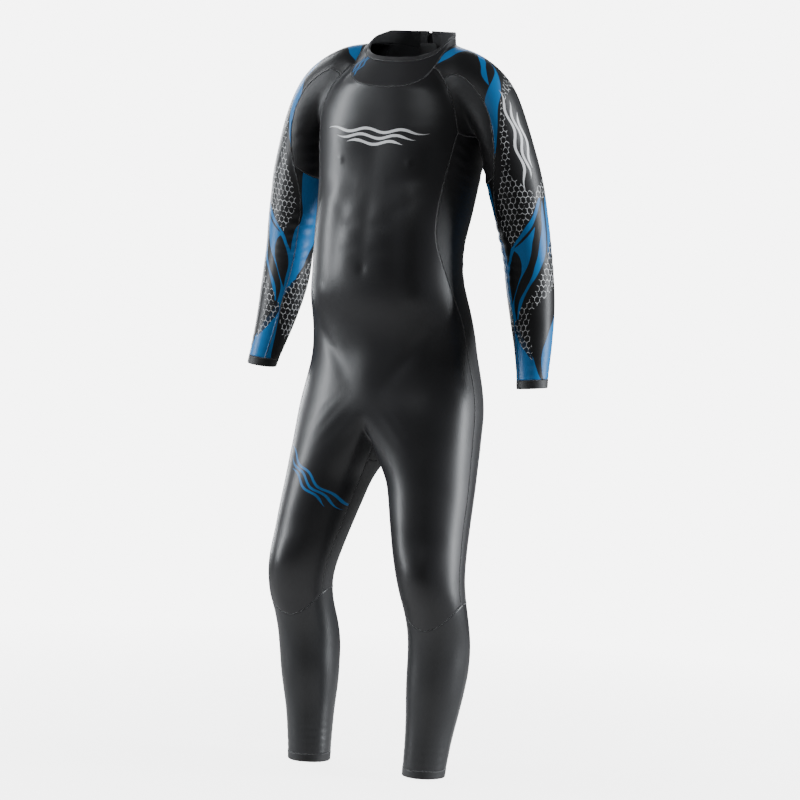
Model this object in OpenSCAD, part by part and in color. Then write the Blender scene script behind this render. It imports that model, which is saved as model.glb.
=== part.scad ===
// Full-length sleeved wetsuit with a raised neck band and a straight back zip.
// It stands filled out, as it looks when worn or hung on a full hanger.
// The wearer faces -Y and their left is +X. Every panel is a closed shell of
// sheet neoprene, and neighbouring panels meet edge to edge along their seams.

/* [Body] */
// Height from the ankle hem up to the level where the legs join
leg_h = 700; // [660:5:740]
// Height from there up to the armpits
torso_h = 535; // [500:5:570]
// Width of the hips where the legs join
hip_w = 374; // [350:2:400]
// Width at the waist
waist_w = 300; // [280:2:330]
// Width of the chest at the armpits
chest_w = 336; // [330:2:346]

/* [Limbs] */
// Width of the leg at the knee, as a share of the normal size
knee_fit = 1; // [0.92:0.01:1.08]
// Depth of the U in the front of the knee seam
knee_dip = 58; // [30:1:80]
// Height of the knee seam at the back of the leg
knee_z = 345; // [320:1:370]
// Height of the ankle hem band
ankle_band = 12; // [8:1:20]

/* [Neoprene] */
// Thickness of the panels
skin = 3; // [2:0.5:4]

/* [Neck] */
// Height of the binding along the neck rim
binding_h = 6; // [4:1:8]
// Thickness of the neck tab
tab_t = 2; // [1.5:0.5:3]

/* [Zip] */
// Half the width of the slot between the two back panels
slot_half = 9; // [8.5:0.5:11]
// Distance between one tooth and the next on the same side
tooth_pitch = 5; // [4:0.5:8]
// Length of the slider
slider_l = 26; // [22:1:30]
// Length of the pull tab, from its pin to the middle of its eyelet
pull_l = 36; // [28:1:40]
// Radius of the eyelet that a pull cord goes through
eyelet_r = 2.5; // [2:0.1:3]

/* [Hidden] */

$fn = 48;
black = "#1b1b1d";
soft_black = "#26272a";
print_blue = "#0a74bb";
grey = "#6d7278";

armpit_z = leg_h + torso_h;
hanger_z = armpit_z + 160;

// ---- Section sizes. Heights are those of the normal size. ----

// Half width of the trunk by height
half_width = [[700, 187], [735, 182], [770, 174], [805, 167], [845, 164], [880, 163],
    [915, 159], [950, 152], [985, 150], [1020, 150], [1055, 153], [1090, 157],
    [1130, 160], [1165, 163], [1200, 166], [1235, 168], [1275, 166], [1315, 148],
    [1335, 126], [1355, 102], [1380, 90], [1405, 86]];
// Middle of the trunk section, front to back
mid_y = [[700, 10], [770, 17], [845, 5], [880, -8], [915, -24], [950, -34], [985, -38],
    [1020, -34], [1055, -26], [1090, -16], [1130, -10], [1200, -3], [1235, 0], [1405, 0]];
// Front of the trunk
front_y = [[700, -110], [735, -99], [770, -96], [805, -95], [845, -103], [880, -114],
    [915, -130], [950, -139], [985, -142], [1020, -140], [1055, -136], [1090, -128],
    [1130, -120], [1165, -116], [1235, -116], [1275, -111], [1315, -103],
    [1335, -92], [1355, -84], [1380, -78], [1405, -75]];
// Back of the trunk
back_y = [[700, 130], [735, 134], [770, 131], [805, 122], [845, 112], [880, 97],
    [915, 80], [950, 68], [985, 60], [1020, 64], [1055, 74], [1090, 82], [1130, 88],
    [1165, 92], [1200, 95], [1235, 96], [1275, 95], [1315, 93.5], [1355, 92],
    [1380, 91.5], [1405, 91]];
// Angle of the front side seam, from the front, and of the back side seam
front_seam = [[700, 90], [800, 88], [880, 85], [945, 79], [980, 71], [1005, 63],
    [1035, 56], [1080, 52], [1115, 52], [1160, 54], [1235, 60]];
back_seam = [[700, 102], [850, 104], [1000, 108], [1160, 113], [1235, 118]];
neck_front_angle = 52;
neck_back_angle = 130;
// Height of the neck seam above the armpits, by angle from the front
neck_seam = [[0, 78], [15, 81], [30, 93], [45, 111], [52, 119], [60, 128], [75, 149],
    [90, 163], [105, 168], [130, 168], [150, 165], [180, 159]];
// Height of the neck rim above the armpits
neck_rim = [[0, 137], [30, 140], [60, 152], [90, 180], [120, 193], [180, 195]];

// Leg: height, middle X, middle Y, half width, half depth
leg_x = [[0, 127], [60, 130], [135, 136], [215, 142], [330, 149], [405, 138], [445, 131],
    [485, 124], [525, 118], [562, 112]];
leg_y = [[0, -13], [60, -9], [135, -6], [215, -6], [250, -10], [290, -24], [330, -46],
    [370, -57], [405, -57], [445, -47], [485, -38], [525, -28], [562, -18]];
leg_a = [[0, 41], [60, 44], [100, 47], [135, 52], [175, 57], [215, 59], [290, 59],
    [330, 61], [370, 63], [405, 67], [445, 71], [485, 75], [525, 79], [562, 84]];
leg_b = [[0, 44], [60, 49], [100, 52], [135, 58], [175, 65], [215, 67], [250, 66],
    [290, 63], [330, 66], [370, 71], [405, 76], [445, 81], [485, 86], [525, 90], [562, 94]];

// Sleeve rings from the neck to the cuff:
// outer X, outer Z, inner X, inner Z, middle Y, half depth, front seam angle
rings = [[0, 0, 0, 0, 0, 0, 62.5],
    [118, 1396, 170, 1227, 5, 70, 63], [148, 1386, 173, 1218, 4, 68, 65],
    [178, 1370, 176, 1208, 3, 66, 67], [205, 1348, 179, 1197, 2, 64, 70],
    [228, 1318, 181, 1185, 2, 62, 74], [246, 1280, 182, 1170, 4, 60, 80],
    [262, 1238, 183, 1153, 8, 58, 92], [277, 1192, 185, 1133, 14, 56, 108],
    [289, 1150, 188, 1112, 20, 54, 124], [296, 1108, 195, 1083, 26, 52, 134],
    [302, 1068, 203, 1048, 31, 50, 138], [307, 1030, 211, 1014, 36, 48, 138],
    [310, 995, 216, 982, 40, 46, 136], [314, 960, 220, 948, 43, 47, 132],
    [318, 925, 227, 914, 43, 46, 128], [320, 888, 236, 878, 40, 42, 126],
    [322, 850, 247, 841, 35, 38, 126], [323, 815, 256, 807, 28, 34, 126],
    [325, 775, 266, 769, 17, 30, 126], [326, 763, 268, 757, 15, 29.5, 126]];

last_ring = len(rings) - 1;
elbow_ring = 8;
arm_cols = 26;
leg_cols = 24;
trunk_rows = 15;
zip_row = 8;
yoke_steps = [0, 1/6, 2/6, 3/6, 4/6, 5/6, 11/12, 1];
yoke_rows = len(yoke_steps) - 1;
neck_cols = 22;
hip_rows = 4;
knee_row = 11;
hem_row = 20;
ankle_row = 21;

// ---- The straight line that the zip follows down the back ----
zip_z = leg_h + torso_h * zip_row / trunk_rows;
zip_y0 = 60;
zip_lean = 0.0712;
zip_turn = atan(zip_lean);
zip_flat_x = 26;
tape_face = -3.3;
tape_t = 1;
tooth_top = -0.7;
base_patch_l = 8;
stop_l = 3;
teeth_from = base_patch_l + stop_l + 1.5;
teeth_to = 394.5;
slider_rest = teeth_to + 1 - slider_l / 2;
pin_r = 1.1;
pin_v = 4.4;
pin_up = -3;

function zip_y(z) = zip_y0 + (z - zip_z) * zip_lean;
function mix(a, b, t) = a + (b - a) * t;
function round_off(s) = sign(s) * pow(abs(s), 0.85);
function bell(z, at, width) = exp(-pow((z - at) / width, 2));

// Height on the normal size that a height on this size stands for
function normal_z(z) =
    z > armpit_z ? z - armpit_z + 1235 : 700 + (z - leg_h) * 535 / torso_h;
function growth(n) = lookup(n,
    [[700, hip_w / 374], [985, waist_w / 300], [1235, chest_w / 336], [1355, 1]]);

// ---- Trunk ----

// Depth by which the spine's furrow lies below the rest of the back
function furrow(n, z) = let (low = max(z, zip_z))
    (lookup(n, mid_y) * 0.015 + lookup(n, back_y) * 0.985 - zip_y(low))
    * lookup(n, [[845, 0], [945, 1], [1500, 1]]);
// A point on the trunk, d below the outer face
function trunk(angle, z, d) = let (
    n = normal_z(z),
    mid = lookup(n, mid_y),
    x = (lookup(n, half_width) * growth(n) - d) * round_off(sin(angle)),
    front = (lookup(n, front_y) - mid + d) * round_off(cos(angle))
        - 5 * bell(n, 1215, 55) * pow(sin(2 * angle), 2),
    back = (mid - lookup(n, back_y) + d) * round_off(cos(angle))
        + 12 * bell(n, 1230, 80) * pow(sin(2 * angle), 2)
        - furrow(n, z) * bell(max(x, zip_flat_x), zip_flat_x, 45))
    [x, mid + (angle < 90 ? front : back), z];

function trunk_angle(r, c) = let (
    n = 700 + 535 * r / trunk_rows,
    s = lookup(n, front_seam),
    b = lookup(n, back_seam))
    c <= 6 ? s * c / 6 : c <= 10 ? mix(s, b, (c - 6) / 4) : mix(b, 180, (c - 10) / 8);
// Column 18 is the spine, and column 19 the edge of the slot that the zip lies in
function beside_zip(c, z, d) = [c == 17 ? zip_flat_x : slot_half, zip_y(z) - d, z];
function trunk_at(r, c, d) = let (
    z = leg_h + torso_h * r / trunk_rows,
    under_arm = r == trunk_rows && c > 6 && c < 10 ? sin(45 * (c - 6)) : 0)
    c == 17 && r >= zip_row || c == 19 ? beside_zip(c, z, d) :
    trunk(trunk_angle(r, c), z, d * (1 - under_arm)) + [0, 0, d * under_arm];

function yoke_angle(k, c) = let (
    s = mix(60, neck_front_angle, yoke_steps[k]),
    b = mix(118, neck_back_angle, yoke_steps[k]))
    c <= 6 ? s * c / 6 : mix(b, 180, (c - 10) / 8);
// The neck seam's inner edge also drops, because the shoulder runs out flat from it
function neck_drop(angle, d) = [0, 0, -d * pow(sin(angle), 2)];
function yoke_at(k, c, d) = let (
    top = lookup(yoke_angle(yoke_rows, c), neck_seam),
    z = armpit_z + top * yoke_steps[k],
    drop = k == yoke_rows ? neck_drop(yoke_angle(k, c), d) : [0, 0, 0])
    c >= 17 ? beside_zip(c, z, d) + drop : trunk(yoke_angle(k, c), z, d) + drop;

// ---- Neck band ----
function neck_angle(c) = c <= 6 ? neck_front_angle * c / 6 :
    c <= 14 ? mix(neck_front_angle, neck_back_angle, (c - 6) / 8) :
    mix(neck_back_angle, 180, (c - 14) / 8);
function neck_base(c, d) = let (a = neck_angle(c))
    c < 6 ? yoke_at(yoke_rows, c, d) : c > 14 ? yoke_at(yoke_rows, c - 4, d) :
    trunk(a, armpit_z + lookup(a, neck_seam), d) + neck_drop(a, d);
function neck_top(c, d) = let (
    a = neck_angle(c),
    z = armpit_z + lookup(a, neck_rim))
    c >= neck_cols - 1 ? [c == neck_cols ? 2.5 : 24, 88.5 - d, z] :
    [(80 - d) * round_off(sin(a)),
        14 - (neck_depth(a) - d) * round_off(cos(a)), z];
function neck_depth(a) = a < 90 ? 72 : 74.5;
function neck_at(row, c, d) = let (
    low = neck_base(c, d),
    high = neck_top(c, d),
    bind = 1 - binding_h / (neck_top(c, 0)[2] - neck_base(c, 0)[2]))
    mix(low, high, row == 0 ? 0 : row == 1 ? bind * 0.5 : row == 2 ? bind : 1);

// ---- Sleeve ----
function ring_angle(j, c) = let (f = rings[j][6])
    c <= 6 ? f * c / 6 : c <= 13 ? mix(f, 180, (c - 6) / 7) :
    c <= 20 ? mix(180, 360 - f, (c - 13) / 7) : mix(360 - f, 360, (c - 20) / 6);
// The first ring runs round the armhole: neck seam, front raglan, armpit, back raglan
function armhole(c, d) =
    c < 4 ? neck_base(10 - c, d) : c > 22 ? neck_base(36 - c, d) :
    c < 11 ? yoke_at(11 - c, 6, d) : c > 15 ? yoke_at(c - 15, 10, d) :
    trunk_at(trunk_rows, c - 5, d);
function arm_z(z) = z - 1235 + armpit_z;
function sleeve_outer(j, c) = j == 0 ? armhole(c, 0) : let (
    r = rings[j],
    a = ring_angle(j, c),
    out = [(r[0] - r[2]) / 2, 0, (r[1] - r[3]) / 2])
    [(r[0] + r[2]) / 2, r[4], arm_z((r[1] + r[3]) / 2)]
    + out * cos(a) + [0, -r[5] * sin(a), 0];
sleeve_points = [for (j = [0:last_ring]) [for (c = [0:arm_cols - 1]) sleeve_outer(j, c)]];
function sleeve_at(j, c, d) = let (k = c % arm_cols)
    d == 0 ? sleeve_points[j][k] : j == 0 ? armhole(k, d) : let (
        across = sleeve_points[j][(k + 1) % arm_cols]
            - sleeve_points[j][(k + arm_cols - 1) % arm_cols],
        along = sleeve_points[min(j + 1, last_ring)][k] - sleeve_points[j - 1][k],
        n = cross(across, along))
        sleeve_points[j][k] - d * n / norm(n);

// ---- Leg ----
function leg_angle(c) = c <= 6 ? -45 + 22.5 * c : c <= 10 ? 90 + 3 * (c - 6) :
    c <= 18 ? mix(102, 225, (c - 10) / 8) : 225 + 15 * (c - 18);
function leg_z(z) = z * leg_h / 700;
function leg_ring(a, z, d) = let (n = z * 700 / leg_h)
    [lookup(n, leg_x) + (lookup(n, leg_a) * knee_fit - d) * sin(a),
        lookup(n, leg_y) - (lookup(n, leg_b) * knee_fit - d) * cos(a), z];
// The top ring is half of the trunk's lowest ring, closed by the curve of the crotch
function crotch(beta, d) = [0, 10 + (120 - d) * cos(beta), leg_h - (72 - d) * sin(beta)];
function leg_top(c, d) = c <= 18 ? trunk_at(0, c, d) : crotch(30 * (c - 18), d);
function knee_seam(a) = knee_z - knee_dip * pow(max(0, cos(a)), 1.5);
function leg_row_z(r, a) =
    r <= knee_row ? mix(leg_z(562), knee_seam(a), (r - hip_rows) / (knee_row - hip_rows)) :
    r <= hem_row ? mix(knee_seam(a), ankle_band, (r - knee_row) / (hem_row - knee_row)) : 0;
function leg_at(r, col, d) = let (
    c = col % leg_cols,
    a = leg_angle(c))
    r < hip_rows ? mix(leg_top(c, d), leg_ring(a, leg_z(562), d), r / hip_rows) :
    leg_ring(a, leg_row_z(r, a), d);

// ---- Which panel each cell of the body belongs to ----
function trunk_owner(r, c) = c < 6 ? "front" : c < 10 ? "side" :
    r < zip_row ? "seat" : "upper_back";
function yoke_owner(c) = c < 6 ? "front" : c < 10 ? "none" : "upper_back";
function neck_owner(row) = row < 2 ? "band" : "binding";
function sleeve_owner(j, c) = j == last_ring - 1 ? "cuff" :
    c < 6 || c >= 20 ? "sleeve" : j < elbow_ring ? "underarm" : "forearm";
function leg_owner(r, c) = r >= hem_row ? "hem" : r >= knee_row ? "lower_leg" :
    c < 6 || c >= 22 ? "front" : c < 10 ? "side" :
    r >= 2 ? "thigh_back" : c < 20 ? "seat" : "gusset";

// ---- Cells: four outer corners, four inner corners, and which edges are open ----
function cell(o, i, open) = [o, i, open];
function trunk_cells(who) = [for (r = [0:trunk_rows - 1]) for (c = [0:17])
    if (trunk_owner(r, c) == who) let (e = c == 17 && who == "upper_back" ? 19 : c + 1) cell(
        [trunk_at(r, c, 0), trunk_at(r, e, 0), trunk_at(r + 1, e, 0), trunk_at(r + 1, c, 0)],
        [trunk_at(r, c, skin), trunk_at(r, e, skin),
            trunk_at(r + 1, e, skin), trunk_at(r + 1, c, skin)],
        [r == 0 ? leg_owner(0, c) != who : trunk_owner(r - 1, c) != who,
            c == 17 ? who == "upper_back" : trunk_owner(r, c + 1) != who,
            r == trunk_rows - 1 ? yoke_owner(c) != who : trunk_owner(r + 1, c) != who,
            c > 0 && trunk_owner(r, c - 1) != who])];
function yoke_cells(who) = [for (k = [0:yoke_rows - 1]) for (c = [0:17])
    if (yoke_owner(c) == who) cell(
        [yoke_at(k, c, 0), yoke_at(k, c + 1, 0), yoke_at(k + 1, c + 1, 0), yoke_at(k + 1, c, 0)],
        [yoke_at(k, c, skin), yoke_at(k, c + 1, skin),
            yoke_at(k + 1, c + 1, skin), yoke_at(k + 1, c, skin)],
        [k == 0 && trunk_owner(trunk_rows - 1, c) != who, c == 5 || c == 17,
            k == yoke_rows - 1, c == 10])];
function neck_cells(who) = [for (k = [0:2]) for (c = [0:neck_cols - 1])
    if (neck_owner(k) == who) cell(
        [neck_at(k, c, 0), neck_at(k, c + 1, 0), neck_at(k + 1, c + 1, 0), neck_at(k + 1, c, 0)],
        [neck_at(k, c, skin), neck_at(k, c + 1, skin),
            neck_at(k + 1, c + 1, skin), neck_at(k + 1, c, skin)],
        [k != 1, c == neck_cols - 1, k > 0, false])];
function sleeve_cells(who) = [for (j = [0:last_ring - 1]) for (c = [0:arm_cols - 1])
    if (sleeve_owner(j, c) == who) cell(
        [sleeve_at(j, c, 0), sleeve_at(j + 1, c, 0),
            sleeve_at(j + 1, c + 1, 0), sleeve_at(j, c + 1, 0)],
        [sleeve_at(j, c, skin), sleeve_at(j + 1, c, skin),
            sleeve_at(j + 1, c + 1, skin), sleeve_at(j, c + 1, skin)],
        [sleeve_owner(j, (c + arm_cols - 1) % arm_cols) != who,
            j == last_ring - 1 || sleeve_owner(j + 1, c) != who,
            sleeve_owner(j, (c + 1) % arm_cols) != who,
            j == 0 || sleeve_owner(j - 1, c) != who])];
function leg_cells(who) = [for (r = [0:ankle_row - 1]) for (c = [0:leg_cols - 1])
    if (leg_owner(r, c) == who) cell(
        [leg_at(r, c, 0), leg_at(r + 1, c, 0), leg_at(r + 1, c + 1, 0), leg_at(r, c + 1, 0)],
        [leg_at(r, c, skin), leg_at(r + 1, c, skin),
            leg_at(r + 1, c + 1, skin), leg_at(r, c + 1, skin)],
        [leg_owner(r, (c + leg_cols - 1) % leg_cols) != who,
            r == ankle_row - 1 || leg_owner(r + 1, c) != who,
            leg_owner(r, (c + 1) % leg_cols) != who,
            r == 0 ? c < 18 && trunk_owner(0, c) != who : leg_owner(r - 1, c) != who])];

function flip(p) = [-p[0], p[1], p[2]];
function flip_quad(q) = [flip(q[1]), flip(q[0]), flip(q[3]), flip(q[2])];
function mirrored(cells) = [for (m = cells) cell(flip_quad(m[0]), flip_quad(m[1]),
    [m[2][0], m[2][3], m[2][2], m[2][1]])];
// Both panels at a seam split its edge wall along the same diagonal
function goes_first(p, q) = abs(p[2] - q[2]) > 0.001 ? p[2] < q[2] :
    abs(p[0]) + 0.37 * p[1] < abs(q[0]) + 0.37 * q[1];
function edge_wall(m, n, e) = let (f = (e + 1) % 4)
    !m[2][e] ? [] : goes_first(m[0][e], m[0][f]) ?
    [[n + e, n + f, n + 4 + f], [n + e, n + 4 + f, n + 4 + e]] :
    [[n + e, n + f, n + 4 + e], [n + f, n + 4 + f, n + 4 + e]];

module shell(cells) {
    polyhedron(
        points = [for (m = cells) each concat(m[0], m[1])],
        faces = [for (i = [0:len(cells) - 1]) let (n = 8 * i, m = cells[i])
            each concat([[n, n + 3, n + 2], [n, n + 2, n + 1]],
                [[n + 4, n + 5, n + 6], [n + 4, n + 6, n + 7]],
                [for (e = [0:3]) each edge_wall(m, n, e)])],
        convexity = 8);
}
module hung() {
    translate([0, 0, -hanger_z]) children();
}
module left_shell(tint, cells) {
    color(tint) hung() shell(cells);
}
module right_shell(tint, cells) {
    color(tint) hung() shell(mirrored(cells));
}
module both_shell(tint, cells) {
    color(tint) hung() shell(concat(cells, mirrored(cells)));
}

// ---- Panels ----
module front_panel() {
    both_shell(black, concat(trunk_cells("front"), yoke_cells("front"), leg_cells("front")));
}
module seat_panel() {
    both_shell(black, concat(trunk_cells("seat"), leg_cells("seat")));
}
module crotch_gusset() {
    both_shell(soft_black, leg_cells("gusset"));
}
back_cells = concat(trunk_cells("upper_back"), yoke_cells("upper_back"));
module left_upper_back() {
    left_shell(black, back_cells);
}
module right_upper_back() {
    right_shell(black, back_cells);
}
side_cells = concat(trunk_cells("side"), leg_cells("side"));
module left_side_panel() {
    left_shell(soft_black, side_cells);
}
module right_side_panel() {
    right_shell(soft_black, side_cells);
}
module left_sleeve() {
    left_shell(print_blue, sleeve_cells("sleeve"));
}
module right_sleeve() {
    right_shell(print_blue, sleeve_cells("sleeve"));
}
module left_underarm() {
    left_shell(soft_black, sleeve_cells("underarm"));
}
module right_underarm() {
    right_shell(soft_black, sleeve_cells("underarm"));
}
module left_forearm() {
    left_shell(print_blue, sleeve_cells("forearm"));
}
module right_forearm() {
    right_shell(print_blue, sleeve_cells("forearm"));
}
module left_cuff_hem() {
    left_shell(black, sleeve_cells("cuff"));
}
module right_cuff_hem() {
    right_shell(black, sleeve_cells("cuff"));
}
module left_thigh_back() {
    left_shell(soft_black, leg_cells("thigh_back"));
}
module right_thigh_back() {
    right_shell(soft_black, leg_cells("thigh_back"));
}
module left_lower_leg() {
    left_shell(soft_black, leg_cells("lower_leg"));
}
module right_lower_leg() {
    right_shell(soft_black, leg_cells("lower_leg"));
}
module left_ankle_hem() {
    left_shell(black, leg_cells("hem"));
}
module right_ankle_hem() {
    right_shell(black, leg_cells("hem"));
}
module neck_band() {
    both_shell(black, neck_cells("band"));
}
module neck_binding() {
    both_shell(soft_black, neck_cells("binding"));
}

// ---- Zip: X across, Y out of the back, Z up along the zip from its lower end ----
module zip_frame() {
    hung() translate([0, zip_y0, zip_z]) rotate([-zip_turn, 0, 0]) children();
}
module block(x0, x1, y0, y1, z0, z1) {
    translate([x0, y0, z0]) cube([x1 - x0, y1 - y0, z1 - z0]);
}
module zip_tape_left() {
    color(black) zip_frame() block(1.2, 22, tape_face - tape_t, tape_face, -6, 398);
}
module zip_tape_right() {
    color(black) zip_frame() block(-22, -1.2, tape_face - tape_t, tape_face, -6, 398);
}
module tooth_rack(from) {
    n = floor((teeth_to - from) / tooth_pitch);
    spine = 2.6;
    tip = 0.7;
    back = 4.2;
    translate([0, tooth_top, 0]) rotate([90, 0, 0]) linear_extrude(tooth_top - tape_face)
        polygon(concat([[back, teeth_to], [back, teeth_from]],
            [for (i = [0:n - 1]) let (w = from + i * tooth_pitch)
                each [[spine, w], [tip, w + 0.4], [tip, w + 2.4], [spine, w + 2.8]]]));
}
module zip_teeth_left() {
    color(grey) zip_frame() tooth_rack(teeth_from + 0.2);
}
module zip_teeth_right() {
    color(grey) zip_frame() mirror([1, 0, 0]) tooth_rack(teeth_from + 0.2 + tooth_pitch / 2);
}
module zip_top_stops() {
    color(grey) zip_frame() for (side = [0, 1]) mirror([side, 0, 0])
        block(0.8, 4.6, tape_face, -0.2, teeth_to + 1.5, teeth_to + 1.5 + stop_l);
}
module zip_bottom_stop() {
    color(grey) zip_frame()
        block(-4.6, 4.6, tape_face, -0.2, base_patch_l + 0.5, base_patch_l + 0.5 + stop_l);
}
module zip_base_patch() {
    color(soft_black) zip_frame() block(-8.4, 8.4, tape_face + 0.1, 0.4, 0.4, base_patch_l);
}
module zip_guard_flap() {
    color(soft_black) zip_frame() {
        block(-35, 35, -9.6, -7.1, -4, 402);
        block(-20, 20, -9.6, -7.1, 401, 421);
    }
}
module size_label() {
    color("white") zip_frame() block(-22, 22, -9.9, -9.6, 345, 378);
}
module hang_loop() {
    color(black) zip_frame() translate([0, -9.6, 388]) rotate([0, 0, 180])
        rotate_extrude(angle = 180) translate([12, 0]) square([1.5, 8]);
}

module rounded_plate(w, l, t, r) {
    linear_extrude(t) {
        square([w - 2 * r, l], center = true);
        square([w, l - 2 * r], center = true);
        for (x = [-1, 1]) for (y = [-1, 1])
            translate([x * (w / 2 - r), y * (l / 2 - r)]) circle(r);
    }
}
module zip_slider() {
    half = slider_l / 2;
    color(grey) zip_frame() translate([0, 0, slider_rest]) {
        translate([0, 1.5, 0]) rotate([90, 0, 0]) rounded_plate(14, slider_l, 1.8, 3);
        translate([0, -4.7, 0]) rotate([90, 0, 0]) rounded_plate(13, slider_l, 1.4, 3);
        block(-0.35, 0.35, -5.4, 0.4, -half + 2, half - 2);
        for (side = [-1, 1]) {
            block(side * 5.8 - 1.2, side * 5.8 + 1.2, -2.9, 0.2, -half + 3, half - 3);
            block(side * 4 - 0.8, side * 4 + 0.8, 0.6, pin_v + 1.8, pin_up - 4, pin_up + 4);
        }
        translate([-4.8, pin_v, pin_up]) rotate([0, 90, 0]) cylinder(h = 9.6, r = pin_r);
    }
}
module pull_tab() {
    eye_half = 2.9;
    bore_r = pin_r + 0.09;
    tab_half_t = 0.8;
    color(print_blue) zip_frame() translate([0, pin_v, slider_rest + pin_up]) difference() {
        union() {
            rotate([0, 90, 0]) cylinder(h = 2 * eye_half, r = 2.3, center = true);
            block(-eye_half, eye_half, -tab_half_t, tab_half_t, -12, -1.5);
            block(-6, 6, -tab_half_t, tab_half_t, -pull_l, -9);
            translate([0, tab_half_t, -pull_l]) rotate([90, 0, 0])
                cylinder(h = 2 * tab_half_t, r = 6);
        }
        rotate([0, 90, 0]) cylinder(h = 20, r = bore_r, center = true);
        translate([0, 5, -pull_l]) rotate([90, 0, 0]) cylinder(h = 10, r = eyelet_r);
    }
}

// ---- Neck tab: strips that follow the back of the neck band ----
tab_low = armpit_z + 168;
tab_high = armpit_z + 192;
tab_hinge_x = 40;
function oval_y(x, a, b) = b * pow(1 - pow(abs(x) / a, 2 / 0.85), 0.425);
function neck_back_y(x, z) = 0.6 + mix(oval_y(x, 86, 91.3), 14 + oval_y(x, 80, 74.5),
    (z - armpit_z - 165) / 30);
function strip_point(x, z, off) = [x, neck_back_y(x, z) + off, z];
function strip_cells(x0, x1, z0, z1, low, high) = [for (a = [x0:5:x1 - 5])
    let (b = a + 5) cell(
        [strip_point(b, z0, high), strip_point(a, z0, high),
            strip_point(a, z1, high), strip_point(b, z1, high)],
        [strip_point(b, z0, low), strip_point(a, z0, low),
            strip_point(a, z1, low), strip_point(b, z1, low)],
        [true, a == x0, true, b == x1])];
module strip(tint, x0, x1, z0, z1, low, high) {
    color(tint) hung() shell(strip_cells(x0, x1, z0, z1, low, high));
}
module neck_tab_base() {
    strip(soft_black, tab_hinge_x + 0.8, tab_hinge_x + 20.8, tab_low, tab_high, 0.8, 3 + tab_t);
}
module neck_tab() {
    strip(black, -50, tab_hinge_x, tab_low, tab_high, 3, 3 + tab_t);
}
module hook_patch() {
    strip(grey, -45, -20, tab_low + 3, tab_high - 3, 2, 3);
}
module loop_patch() {
    strip(soft_black, -50, -15, tab_low + 1, tab_high - 1, 0.8, 1.6);
}

front_panel();
seat_panel();
left_upper_back();
right_upper_back();
left_side_panel();
right_side_panel();
left_sleeve();
right_sleeve();
left_underarm();
right_underarm();
left_forearm();
right_forearm();
left_cuff_hem();
right_cuff_hem();
crotch_gusset();
left_thigh_back();
right_thigh_back();
left_lower_leg();
right_lower_leg();
left_ankle_hem();
right_ankle_hem();
neck_band();
neck_binding();
zip_tape_left();
zip_tape_right();
zip_teeth_left();
zip_teeth_right();
zip_top_stops();
zip_bottom_stop();
zip_base_patch();
zip_guard_flap();
zip_slider();
pull_tab();
neck_tab_base();
neck_tab();
hook_patch();
loop_patch();
hang_loop();
size_label();
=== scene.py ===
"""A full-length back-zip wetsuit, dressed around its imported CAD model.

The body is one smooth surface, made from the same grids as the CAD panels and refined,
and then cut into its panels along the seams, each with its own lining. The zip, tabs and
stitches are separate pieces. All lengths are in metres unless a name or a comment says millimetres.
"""
import math

import bmesh
import bpy
import numpy as np
from mathutils import Matrix, Vector
from mathutils.bvhtree import BVHTree


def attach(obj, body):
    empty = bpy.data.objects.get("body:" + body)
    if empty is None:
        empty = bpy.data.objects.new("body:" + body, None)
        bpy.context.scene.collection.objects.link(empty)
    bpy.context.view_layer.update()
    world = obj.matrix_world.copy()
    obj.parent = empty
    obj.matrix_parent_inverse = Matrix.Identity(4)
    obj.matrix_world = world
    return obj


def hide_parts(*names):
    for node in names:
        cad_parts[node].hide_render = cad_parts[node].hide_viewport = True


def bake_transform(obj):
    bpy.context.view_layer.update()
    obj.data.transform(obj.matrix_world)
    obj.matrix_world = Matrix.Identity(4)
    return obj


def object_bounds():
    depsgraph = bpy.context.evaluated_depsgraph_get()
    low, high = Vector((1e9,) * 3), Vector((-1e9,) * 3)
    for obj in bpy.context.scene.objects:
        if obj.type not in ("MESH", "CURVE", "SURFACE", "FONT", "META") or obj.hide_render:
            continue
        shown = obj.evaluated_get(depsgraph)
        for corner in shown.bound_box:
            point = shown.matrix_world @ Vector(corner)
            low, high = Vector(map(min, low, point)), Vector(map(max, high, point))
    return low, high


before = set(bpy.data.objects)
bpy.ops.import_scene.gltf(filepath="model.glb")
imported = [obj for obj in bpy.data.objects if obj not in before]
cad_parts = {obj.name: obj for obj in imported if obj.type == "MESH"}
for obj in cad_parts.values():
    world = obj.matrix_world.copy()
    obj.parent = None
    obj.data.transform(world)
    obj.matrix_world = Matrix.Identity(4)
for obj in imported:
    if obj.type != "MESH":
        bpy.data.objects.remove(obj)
cad_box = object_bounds()
HEM = cad_box[0].z  # height of the ankle hem in the hung frame
MM = 0.001

# ---------------------------------------------------------------- sizes of the suit
# Heights are in millimetres above the ankle hem, X towards the wearer's left, -Y in front.
HALF_WIDTH = ((700, 187), (735, 182), (770, 174), (805, 167), (845, 164), (880, 163),
              (915, 159), (950, 152), (985, 150), (1020, 150), (1055, 153), (1090, 157),
              (1130, 160), (1165, 163), (1200, 166), (1235, 168), (1275, 166), (1315, 148),
              (1335, 126), (1355, 102), (1380, 90), (1405, 86))
MIDDLE_Y = ((700, 10), (770, 17), (845, 5), (880, -8), (915, -24), (950, -34), (985, -38),
            (1020, -34), (1055, -26), (1090, -16), (1130, -10), (1200, -3), (1235, 0), (1405, 0))
FRONT_Y = ((700, -110), (735, -99), (770, -96), (805, -95), (845, -103), (880, -114),
           (915, -130), (950, -139), (985, -142), (1020, -140), (1055, -136), (1090, -128),
           (1130, -120), (1165, -116), (1235, -116), (1275, -111), (1315, -103),
           (1335, -92), (1355, -84), (1380, -78), (1405, -75))
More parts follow.
